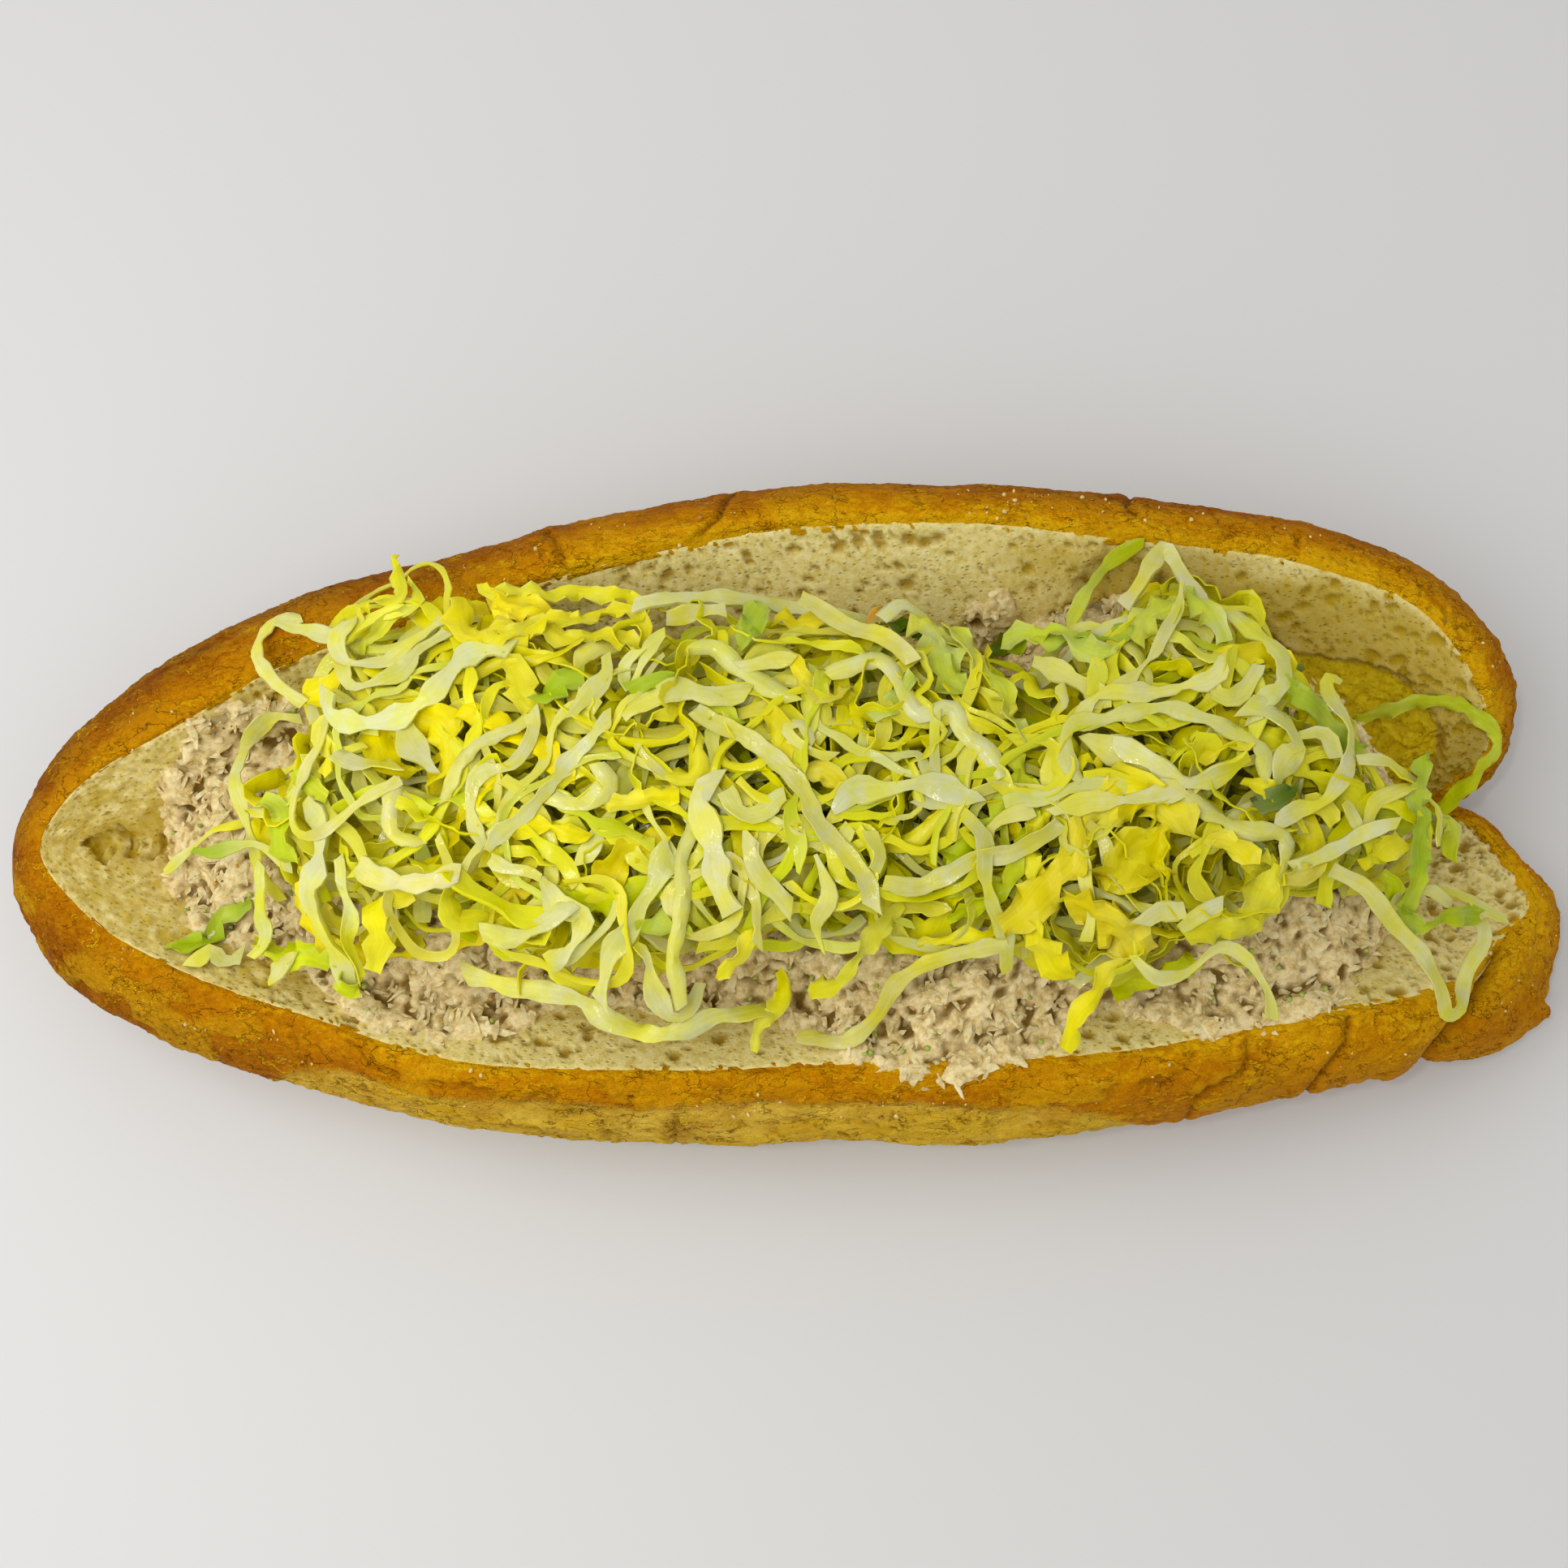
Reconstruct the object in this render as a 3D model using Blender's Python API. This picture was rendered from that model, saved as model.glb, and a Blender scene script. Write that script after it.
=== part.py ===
"""A submarine sandwich at its real size: a long soft roll, slit lengthwise and opened like a boat,
filled with scoops of tuna salad and heaped with shredded lettuce.

The roll lies on its uncut side. +X runs along the roll towards its torn end, +Y towards the darker
half, and +Z is up. The origin is at the middle of the base. Sizes below are in millimetres.
"""

import math

import bmesh
import bpy
import numpy as np
from mathutils import Vector, noise
from mathutils.bvhtree import BVHTree

MM = 0.001

# The roll's rim, where crumb meets crust, as a closed loop seen from above. It starts at the closed
# tip, follows the dark half to the notch at the torn end, and comes back along the pale half.
# x, y, height, then how far the crust bulges out past the rim, and how far it falls doing so.
DARK_RIM = [
    (-144.5, -3.0, 31, 9, 11),
    (-138.5, 6.0, 35, 11, 12),
    (-118.0, 18.0, 41, 15, 12),
    (-96.5, 29.0, 45, 15, 13),
    (-65.0, 37.5, 49, 14, 13),
    (-33.0, 46.5, 51, 12, 12),
    (0.0, 52.0, 52, 11, 12),
    (36.0, 52.5, 52, 10, 12),
    (71.0, 48.5, 50, 11, 12),
    (103.0, 43.0, 47, 11, 12),
    (126.0, 33.0, 43, 11, 12),
    (137.0, 18.0, 37, 11, 13),
    (140.0, 9.0, 24, 4, 6),
]
NOTCH = (132.5, 1.5, 10, 3, 4)
PALE_RIM = [
    (-136.0, -15.5, 34, 12, 14),
    (-116.5, -28.5, 38, 12, 15),
    (-87.0, -40.5, 42, 11, 17),
    (-66.0, -48.0, 44, 10, 19),
    (-37.0, -51.5, 46, 10, 20),
    (0.0, -51.5, 46, 12, 20),
    (34.0, -52.0, 46, 12, 20),
    (62.0, -50.5, 45, 12, 19),
    (88.0, -46.0, 43, 12, 17),
    (113.0, -41.5, 40, 12, 15),
    (124.0, -39.0, 35, 11, 15),
    (131.5, -36.0, 30, 15, 15),
    (138.5, -28.5, 26, 18, 14),
    (147.0, -21.5, 22, 9, 10),
    (145.5, -11.0, 16, 4, 6),
    (141.0, -2.5, 12, 3, 4),
]

FLOOR = 11.0  # height of the crumb along the hinge
TIP_FLOOR = 27.0  # and at the closed tip, where the slit ends
TIP_RAMP_START = -78.0
TIP_RAMP_END = -138.0
HINGE_REACH = 0.95  # the hinge line's x, as a share of the rim's
HINGE_END = 117.0
WALL_CURVE = 1.12  # 1 is a flat cut face, more makes it hollow
BASE_REACH = 0.66  # the base line's x, as a share of the rim's
BASE_WIDTH = 0.32  # how much of the way out to the widest line lies flat on the table
SIDE_BULGE = 1.25  # 1 is a quarter ellipse from the rim to the widest line, 2 is straight
DARK_BULGE = 1.0  # the same for the underside, of the domed half
PALE_BULGE = 1.35  # of the flat-baked half
END_BULGE = 1.1  # and where the two meet, at the ends
UNEVENNESS = 0.7  # how far the crust wanders in and out
UNEVEN_LENGTH = 26.0

GAP = 1.2  # left between one food and the next, as faceted faces don't match exactly
BESIDE = 4.2  # how far to each side a food looks for the highest thing under it

# Scoops of tuna salad along the hinge: x, y, radius, height of the top.
SCOOPS = [
    (-98.0, -1.0, 24, 35),
    (-64.0, -11.0, 32, 44),
    (-18.0, -7.0, 33, 45),
    (28.0, -18.0, 35, 50),
    (82.0, -9.0, 37, 47),
    (64.0, 14.0, 25, 46),
]
SCOOP_FALL = 13.0  # how far a scoop's top falls from its middle to its edge
SCOOP_BLEND = 5.0  # how softly one scoop runs into the next
LUMPS = 1.8  # height of the lumps on the tuna salad

# The heap of lettuce: an uneven long dome.
HEAP_MIDDLE = (6.0, 0.0)
HEAP_LENGTH = 252.0
HEAP_WIDTH = 84.0
HEAP_TOP = 62.0
HEAP_END_TOP = 40.0
HEAP_EDGE = 3.0  # thickness of the heap at its edge
HEAP_RAGGED = 5.0  # how far its edge wanders
HEAP_LUMPS = 3.5

ROLL_ROWS, WALL_STEPS, SIDE_STEPS, UNDER_STEPS = 54, 7, 4, 6
FILLING_ROWS, FILLING_STEPS = 40, 14
HEAP_ROWS, HEAP_STEPS = 44, 17


def clear_scene():
    for old in list(bpy.data.objects):
        bpy.data.objects.remove(old)


def material(name, colour, roughness):
    made = bpy.data.materials.new(name)
    made.use_nodes = True
    shader = made.node_tree.nodes["Principled BSDF"]
    shader.inputs["Base Color"].default_value = (*colour, 1.0)
    shader.inputs["Roughness"].default_value = roughness
    shader.inputs["Metallic"].default_value = 0.0
    return made


def closed_curve(stations, samples_each=40):
    """A smooth closed curve through the stations, as many samples after each of them."""
    here = np.array(stations, float)
    ahead = np.roll(here, -1, 0)
    step = np.linalg.norm((ahead - here)[:, :3], axis=1)[:, None]
    slope = (ahead - here) / step
    slope_before, step_before = np.roll(slope, 1, 0), np.roll(step, 1, 0)
    tangent = (slope * step_before + slope_before * step) / (step + step_before)
    tangent_ahead = np.roll(tangent, -1, 0)
    t = np.linspace(0, 1, samples_each, endpoint=False)[None, :, None]
    curve = (
        (2 * t**3 - 3 * t**2 + 1) * here[:, None]
        + (t**3 - 2 * t**2 + t) * (step * tangent)[:, None]
        + (3 * t**2 - 2 * t**3) * ahead[:, None]
        + (t**3 - t**2) * (step * tangent_ahead)[:, None]
    )
    return curve.reshape(-1, here.shape[1])


def evenly(curve, count):
    """That many points along an open curve, the same distance apart, ends included."""
    steps = np.linalg.norm(np.diff(curve[:, :3], axis=0), axis=1)
    along = np.concatenate([[0], np.cumsum(steps)])
    at = np.linspace(0, along[-1], count)
    return np.stack([np.interp(at, along, column) for column in curve.T], axis=1)


def rim_with_crust():
    """The rim loop from the tip, each row x, y, z of the rim and x, y, z of the crust's widest line."""
    loop = closed_curve([*DARK_RIM, NOTCH, *reversed(PALE_RIM)])
    ahead, behind = np.roll(loop, -4, 0), np.roll(loop, 4, 0)
    along = (ahead - behind)[:, :2]
    along /= np.linalg.norm(along, axis=1)[:, None]
    outward = np.stack([-along[:, 1], along[:, 0]], axis=1)
    widest = np.empty((len(loop), 3))
    widest[:, :2] = loop[:, :2] + outward * loop[:, 3:4]
    widest[:, 2] = loop[:, 2] - loop[:, 4]
    return np.hstack([loop[:, :3], widest])


def both_rims(rows):
    """The dark and the pale half's rims, each from the tip to the notch in that many rows."""
    loop = rim_with_crust()
    notch = len(DARK_RIM) * len(loop) // (len(DARK_RIM) + len(PALE_RIM) + 1)
    dark = evenly(loop[: notch + 1], rows)
    pale = evenly(np.vstack([loop[notch:], loop[:1]])[::-1], rows)
    return dark, pale


def hinge_line(dark, pale):
    """The line at the bottom of the slit that both cut faces rise from."""
    x = np.minimum(HINGE_REACH * (dark[:, 0] + pale[:, 0]) / 2, HINGE_END)
    ramp = np.clip((x - TIP_RAMP_START) / (TIP_RAMP_END - TIP_RAMP_START), 0, 1) ** 1.5
    return np.stack([x, 1.5 + x / 45, FLOOR + (TIP_FLOOR - FLOOR) * ramp], axis=1)


def half_section(rim, hinge, base, bulge):
    """Points from the hinge up the cut face, round the crust and under to the base, row by row."""
    cut, widest = rim[:, :3], rim[:, 3:]
    ends = np.cos(np.linspace(-1, 1, len(rim)) * math.pi / 2)[:, None] ** 0.5
    bulge = END_BULGE + (bulge - END_BULGE) * ends
    points = []
    for share in np.linspace(0, 1, WALL_STEPS + 1):
        point = hinge + (cut - hinge) * share
        point[:, 2] = hinge[:, 2] + (cut[:, 2] - hinge[:, 2]) * share**WALL_CURVE
        points.append(point)
    for angle in np.radians(np.linspace(0, 90, SIDE_STEPS + 1)[1:]):
        out, up = math.sin(angle) ** SIDE_BULGE, max(math.cos(angle), 0) ** SIDE_BULGE
        point = cut + (widest - cut) * out
        point[:, 2] = widest[:, 2] + (cut[:, 2] - widest[:, 2]) * up
        points.append(point)
    foot = base + (widest - base) * BASE_WIDTH
    foot[:, 2] = 0
    for angle in np.radians(np.linspace(0, 90, UNDER_STEPS + 1)[1:]):
        out, down = max(math.cos(angle), 0) ** bulge, math.sin(angle) ** bulge
        point = foot + (widest - foot) * out
        point[:, 2:] = widest[:, 2:] * (1 - down)
        points.append(point)
    points.append(base)
    return points


def uneven(point):
    """The point moved a little in or out, as a baked roll isn't quite regular. The base stays flat."""
    lift = min(point[2] / 12, 1)
    wander = noise.noise_vector(Vector(point) / UNEVEN_LENGTH)
    return np.array(point) + np.array(wander) * UNEVENNESS * lift


def loft(name, sections, made_of):
    """A closed solid through closed sections, whose first and last ones have shrunk to a line."""
    mesh = bmesh.new()
    rows = [[mesh.verts.new(Vector(p) * MM) for p in section] for section in sections]
    for row, ahead in zip(rows, rows[1:]):
        for i, corner in enumerate(row):
            mesh.faces.new((row[i - 1], corner, ahead[i], ahead[i - 1]))
    bmesh.ops.remove_doubles(mesh, verts=mesh.verts, dist=0.01 * MM)
    bmesh.ops.dissolve_degenerate(mesh, edges=mesh.edges, dist=0.01 * MM)
    bmesh.ops.triangulate(mesh, faces=mesh.faces)
    bmesh.ops.recalc_face_normals(mesh, faces=mesh.faces)
    data = bpy.data.meshes.new(name)
    mesh.to_mesh(data)
    mesh.free()
    data.materials.append(made_of)
    data.shade_smooth()
    made = bpy.data.objects.new(name, data)
    bpy.context.scene.collection.objects.link(made)
    return made


def bread_roll():
    dark, pale = both_rims(ROLL_ROWS)
    hinge = hinge_line(dark, pale)
    base = (dark[:, :3] + pale[:, :3]) / 2 * (BASE_REACH, 0, 0)
    dark_side = half_section(dark, hinge, base, DARK_BULGE)
    pale_side = half_section(pale, hinge, base, PALE_BULGE)
    ring = dark_side[::-1] + pale_side[1:-1]
    sections = np.stack(ring, axis=1)
    sections = np.apply_along_axis(uneven, 2, sections)
    return loft("bread_roll", sections, material("crust", (0.62, 0.30, 0.06), 0.6))


def surface_under(*solids):
    """A function that gives the height of the highest of the solids at and beside x, y."""
    trees = []
    for solid in solids:
        mesh = bmesh.new()
        mesh.from_mesh(solid.data)
        trees.append(BVHTree.FromBMesh(mesh))
        mesh.free()

    def height(x, y):
        highest = 0.0
        for turn in range(17):
            reach, angle = BESIDE * ((turn + 7) // 8) / 2, turn * math.pi / 4
            at = (x + reach * math.cos(angle), y + reach * math.sin(angle), 200)
            start = Vector(at) * MM
            for tree in trees:
                hit = tree.ray_cast(start, Vector((0, 0, -1)))[0]
                highest = max(highest, hit.z / MM if hit else 0)
        return highest

    return height


def scoops_height(x, y):
    """Height of the tuna salad's top: the scoops' domes, run softly into each other."""
    total = 0.0
    for middle_x, middle_y, radius, top in SCOOPS:
        away = math.hypot(x - middle_x, y - middle_y) / radius
        total += math.exp((top - SCOOP_FALL * away**3) / SCOOP_BLEND)
    lump = noise.noise(Vector((x, y, 0)) / 11) * LUMPS
    return SCOOP_BLEND * math.log(total) + lump


def scoops_edge(x, side):
    """How far the scoops reach towards +Y (side 1) or -Y (side -1) at x."""
    reach = 0.0
    for middle_x, middle_y, radius, _ in SCOOPS:
        off = abs(x - middle_x) / radius
        if off < 1:
            reach += max(side * middle_y + radius * math.sqrt(1 - off * off), 0) ** 6
    return side * reach ** (1 / 6)


def heap_edge(x, side):
    """The edge of the lettuce at x, an uneven long oval."""
    along = (x - HEAP_MIDDLE[0]) / (HEAP_LENGTH / 2)
    reach = HEAP_WIDTH / 2 * max(1 - abs(along) ** 3, 0) ** 0.5
    ragged = noise.noise(Vector((x / 17, 40 * side, 0))) * HEAP_RAGGED
    return HEAP_MIDDLE[1] + side * reach + ragged * min(reach / 20, 1)


def heap_height(x, y):
    along = (x - HEAP_MIDDLE[0]) / (HEAP_LENGTH / 2)
    across = (y - HEAP_MIDDLE[1]) / (HEAP_WIDTH / 2)
    crest = HEAP_END_TOP + (HEAP_TOP - HEAP_END_TOP) * max(1 - along**4, 0)
    lump = noise.noise(Vector((x, y, 30)) / 13) * HEAP_LUMPS
    return crest - 14 * abs(across) ** 3 + lump


def heap_on(under, first_x, last_x, rows, steps, edge_at, top_at, thickness):
    """Closed sections of a heap that lies on what is under it."""
    sections = []
    for turn in np.linspace(0, math.pi, rows):
        x = (first_x + last_x) / 2 - (last_x - first_x) / 2 * math.cos(turn)
        ends = (edge_at(x, -1), edge_at(x, 1)) if 0 < turn < math.pi else (0, 0)
        across = np.linspace(*ends, steps)
        below = [under(x, y) + GAP for y in across]
        above = [max(top_at(x, y), low + thickness) for y, low in zip(across, below)]
        if not 0 < turn < math.pi:
            above = below
        section = [(x, y, z) for y, z in zip(across, below)]
        section += [(x, y, z) for y, z in zip(across[::-1], above[::-1])]
        sections.append(section)
    return sections


def tuna_salad(roll):
    first_x = min(x - radius for x, _, radius, _ in SCOOPS) + 1
    last_x = max(x + radius for x, _, radius, _ in SCOOPS) - 1
    sections = heap_on(
        surface_under(roll), first_x, last_x, FILLING_ROWS, FILLING_STEPS,
        scoops_edge, scoops_height, 2.0,
    )
    return loft("tuna_salad", sections, material("tuna", (0.62, 0.52, 0.38), 0.75))


def shredded_lettuce(roll, tuna):
    half = HEAP_LENGTH / 2
    sections = heap_on(
        surface_under(roll, tuna), HEAP_MIDDLE[0] - half, HEAP_MIDDLE[0] + half, HEAP_ROWS,
        HEAP_STEPS, heap_edge, heap_height, HEAP_EDGE,
    )
    return loft("shredded_lettuce", sections, material("lettuce", (0.66, 0.72, 0.18), 0.4))


def main():
    clear_scene()
    roll = bread_roll()
    tuna = tuna_salad(roll)
    shredded_lettuce(roll, tuna)


main()
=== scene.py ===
import math

import bmesh
import bpy
import numpy as np
from mathutils import Euler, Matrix, Vector, kdtree, noise


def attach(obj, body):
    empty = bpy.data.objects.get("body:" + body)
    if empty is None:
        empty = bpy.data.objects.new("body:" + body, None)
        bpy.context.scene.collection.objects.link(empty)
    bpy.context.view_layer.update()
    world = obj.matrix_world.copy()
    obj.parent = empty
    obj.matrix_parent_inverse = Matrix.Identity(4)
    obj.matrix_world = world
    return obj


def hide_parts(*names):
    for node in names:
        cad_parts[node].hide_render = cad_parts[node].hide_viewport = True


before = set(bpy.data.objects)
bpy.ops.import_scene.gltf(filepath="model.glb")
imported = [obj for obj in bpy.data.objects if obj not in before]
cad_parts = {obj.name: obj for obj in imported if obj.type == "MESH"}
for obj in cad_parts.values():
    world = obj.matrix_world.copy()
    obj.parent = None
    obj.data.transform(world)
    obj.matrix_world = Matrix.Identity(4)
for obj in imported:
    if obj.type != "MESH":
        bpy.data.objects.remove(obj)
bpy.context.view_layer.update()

MM = 0.001

# ---- The roll's shape, in millimetres, as the frame has it. -------------------------------------
# Each rim row is x, y, height, then how far the crust bulges out past the rim and falls doing so.
DARK_RIM = [
    (-144.5, -3.0, 31, 9, 11),
    (-138.5, 6.0, 35, 11, 12),
    (-118.0, 18.0, 41, 15, 12),
    (-96.5, 29.0, 45, 15, 13),
    (-65.0, 37.5, 49, 14, 13),
    (-33.0, 46.5, 51, 12, 12),
    (0.0, 52.0, 52, 11, 12),
    (36.0, 52.5, 52, 10, 12),
    (71.0, 48.5, 50, 11, 12),
    (103.0, 43.0, 47, 11, 12),
    (126.0, 33.0, 43, 11, 12),
    (137.0, 18.0, 37, 11, 13),
    (140.0, 9.0, 24, 4, 6),
]
NOTCH = (132.5, 1.5, 10, 3, 4)
PALE_RIM = [
    (-136.0, -15.5, 34, 12, 14),
    (-116.5, -28.5, 38, 12, 15),
    (-87.0, -40.5, 42, 11, 17),
    (-66.0, -48.0, 44, 10, 19),
    (-37.0, -51.5, 46, 10, 20),
    (0.0, -51.5, 46, 12, 20),
    (34.0, -52.0, 46, 12, 20),
    (62.0, -50.5, 45, 12, 19),
    (88.0, -46.0, 43, 12, 17),
    (113.0, -41.5, 40, 12, 15),
    (124.0, -39.0, 35, 11, 15),
    (131.5, -36.0, 30, 15, 15),
    (138.5, -28.5, 26, 18, 14),
    (147.0, -21.5, 22, 9, 10),
    (145.5, -11.0, 16, 4, 6),
    (141.0, -2.5, 12, 3, 4),
]
# Height of the hinge, which rises towards the left tip, and the x where it starts and ends rising.
FLOOR, TIP_FLOOR, TIP_RAMP_START, TIP_RAMP_END = 11.0, 27.0, -78.0, -138.0
# How far along the hinge reaches, and how hollow the cut faces are.
HINGE_REACH, HINGE_END, WALL_CURVE = 0.95, 117.0, 1.12
# Size of the flat base, as a share of the rim's length and of the roll's width.
BASE_REACH, BASE_WIDTH = 0.66, 0.32
# How full the crust's curve is above its widest line, then below it: dark half, pale half, ends.
SIDE_BULGE, DARK_BULGE, PALE_BULGE, END_BULGE = 1.25, 1.0, 1.35, 1.1
# How far the crust wanders in and out, over what length, and above what height in full.
UNEVENNESS, UNEVEN_LENGTH, UNEVEN_ABOVE = 0.7, 26.0, 12

# Up the cut face: the share that the fillings hide, its steps, and where the finer steps start.
HIDDEN_WALL, HIDDEN_STEPS, TOP_EDGE = 0.35, 5, 0.88
# Rows along the roll, then steps up the cut face, along its top edge, round the crust, under it.
CRUMB_GRID = (570, 46, 11, 1, 1)
CRUST_GRID = (520, 6, 10, 34, 10)
# How far under the cut face the crumb ends and the crust's inner side lies: at the rim, below it.
INSIDE_AT_RIM, INSIDE = 2.0, 6.4

# Creases in the crust: depth, then the points each runs through, seen from above.
CREASES = [
    (0.8, [(-45, 55), (-42, 51), (-40, 45)]),
    (1.0, [(-8, 62), (-11, 54), (-14, 51)]),
    (0.4, [(27, 59), (28, 55)]),
    (0.9, [(70, 60), (68, 56), (69, 53)]),
    (0.5, [(85, 56), (86, 52)]),
    (0.6, [(101, 50), (100, 45)]),
    (0.4, [(123, 42), (131, 32), (133, 25)]),
    (0.4, [(133, 31), (141, 30)]),
    (1.1, [(104, -42), (104, -48), (101, -52), (98, -57)]),
    (3.0, [(139, -27), (133, -37), (130, -42), (126, -45), (120, -53)]),
    (0.7, [(85, -47), (85, -52), (82, -54), (76, -57), (75, -62)]),
    (0.6, [(74, -49), (74, -52), (70, -54), (64, -55)]),
    (0.4, [(-98, -37), (-95, -39), (-92, -42), (-92, -45), (-91, -51)]),
    (0.6, [(-81, -43), (-78, -47), (-75, -48), (-72, -51)]),
    (0.6, [(-67, -51), (-59, -52), (-51, -55), (-46, -54), (-40, -57), (-30, -56)]),
    (0.6, [(-35, -59), (-35, -64)]),
    (0.6, [(-22, -59), (-22, -65)]),
]

PORES, TIP_PORES_SKIPPED = 3600, 0.8  # how many bubbles, and the share left out at the left tip
# Hollows torn in the dark half's cut face: x, place up the face, half sizes of both, and depth.
HOLLOWS = [
    (66.0, 0.66, 12.5, 0.30, 3.0),
    (40.0, 0.50, 9.0, 0.22, 2.6),
    (-20.0, 0.45, 14.0, 0.16, 1.0),
]

# ---- The fillings' shapes, in millimetres. ------------------------------------------------------
# Scoops of tuna salad: x, y, radius, height of the top.
SCOOPS = [
    (-98.0, -1.0, 24, 35),
    (-64.0, -11.0, 32, 44),
    (-18.0, -7.0, 33, 45),
    (28.0, -18.0, 35, 50),
    (82.0, -9.0, 37, 47),
    (64.0, 14.0, 25, 46),
]
# How far a scoop falls from its top to its edge, how softly scoops join, and how high lumps are.
SCOOP_FALL, SCOOP_BLEND, LUMPS = 13.0, 5.0, 2.3
# How many bundles of fibres, fibres in each, lumps of dressing, loose flakes and diced bits.
BUNDLES, FIBRES, CREAM, LOOSE_FLAKES, BITS = 1500, 5, 2600, 4600, 200
# Length, width and height of a fibre as half sizes: the least, and how much more at random.
FIBRE_SIZES = [(0.9, 1.5), (0.34, 0.2), (0.34, 0.2)]
# Size of the joined mesh's cells, how closely its lumps may start, and depth of the plain core.
TUNA_VOXEL, TUNA_SPACING, CORE_UNDER = 0.66, 0.5, 2.3
# Some tuna salad that fell out behind the lettuce: the middle of the spot, and its half sizes.
STRAY_TUNA, STRAY_REACH = (41, 37), (5, 3)
CRUMBS = 420

# The edges of the dense heap of lettuce, seen from above: its far side and its near side.
FAR_EDGE = [
    (-91, -1), (-90, 18), (-86, 32), (-74, 38), (-62, 41), (-49, 31), (-34, 29), (-25, 31), (6, 32),
    (21, 30), (33, 27), (50, 24), (57, 29), (71, 37), (80, 36), (89, 25), (97, 17), (104, 9),
    (111, 0), (114, -11),
]
NEAR_EDGE = [
    (-91, -1), (-90, -19), (-82, -25), (-71, -24), (-56, -27), (-44, -32), (-32, -36), (-15, -32),
    (-5, -30), (2, -31), (13, -29), (31, -30), (44, -33), (53, -38), (63, -37), (71, -31),
    (85, -29), (97, -22), (110, -18), (114, -11),
]
# Height of the heap in its middle and at its ends, and how far it falls to its edges.
HEAP_TOP, HEAP_END_TOP, HEAP_FALL = 55.2, 41.5, 14.0
HEAP_MIDDLE, HEAP_HALF_LENGTH = 10, 104
CORE_DEPTH = 2.9  # how far under the heap's top its plain core ends
LOW_SHREDS, HIGH_SHREDS = 240, 560
# For each shred that fills the heap: spots tried for the lowest, and lines tried for the best fit.
SPOTS_TRIED, LINES_TRIED = 12, 6

# Colours of the shreds: white rib to dark outer leaf.
TONES = {
    "white": (0.75, 0.735, 0.37),
    "cream": (0.73, 0.71, 0.26),
    "pale": (0.71, 0.70, 0.22),
    "palegreen": (0.60, 0.68, 0.09),
    "yellowpale": (0.76, 0.71, 0.03),
    "yellow": (0.88, 0.775, 0.001),
    "lime": (0.60, 0.69, 0.001),
    "green": (0.36, 0.50, 0.003),
    "dark": (0.10, 0.17, 0.001),
    "orange": (0.80, 0.38, 0.005),
}
# Painted light: shreds this far down the heap, laid low, or turned away from up are brightened and
# yellowed by this tint, as if lit through the leaves above.
DEEPENS, THROUGH_LIGHT_TINT = 4.0, (1.13, 1.09, 0.006)  # colour of what lies that far down in the heap
# How each kind is built: thickness and spacing of its cross-sections in mm, how strongly its edges
# ruffle, how far it turns on edge, how its path weaves, how its ends narrow, and how wide and long
# the ones that fill the heap are.
KINDS = {
    "rib": {
        "thick": 1.1, "step": 1.5, "ruffle": 0.0, "turn": 0.25, "weave": 0.18, "end": 0.9,
        "width": 2.6, "length": 22,
    },
    "shred": {
        "thick": 0.45, "step": 1.4, "ruffle": 0.22, "turn": 0.65, "weave": 0.4, "end": 0.85,
        "width": 2.1, "length": 42,
    },
    "edge": {
        "thick": 0.4, "step": 1.05, "ruffle": 0.5, "turn": 0.4, "weave": 1.0, "end": 0.8,
        "width": 2.8, "length": 36,
    },
    "leaf": {
        "thick": 0.32, "step": 1.4, "ruffle": 1.3, "turn": 0.5, "weave": 0.5, "end": 0.65,
        "width": 4.1, "length": 28,
    },
}
WIDE_LEAF = 7.2  # leaves wider than this get more points across, and deeper folds
TOP_WIDTH = 0.88  # of the widths given in TOP_SHREDS
# Cross-sections, as a share of the half width and of the half thickness, right round.
FLAT_SECTION = [
    (-1.0, 0.0), (-0.93, 0.95), (0.0, 1.0), (0.93, 0.95), (1.0, 0.0), (0.85, -0.95), (-0.85, -0.95),
]
WIDE_SECTION = [(u / 7, 1.0) for u in range(-7, 8)] + [(u / 7, -1.0) for u in range(7, -8, -1)]
LEAF_SECTION = [(u / 3, 1.0) for u in range(-3, 4)] + [(u / 3, -1.0) for u in range(3, -4, -1)]
CUT_ANGLE = math.radians(50)  # cut edges sharper than this aren't rounded off
CREST, OVER_CREST = 66.0, 7.5  # shreds that would lie higher press into those under them
DROOP = 0.06  # how sharply a shred can bend down over what is under it, per millimetre

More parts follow.
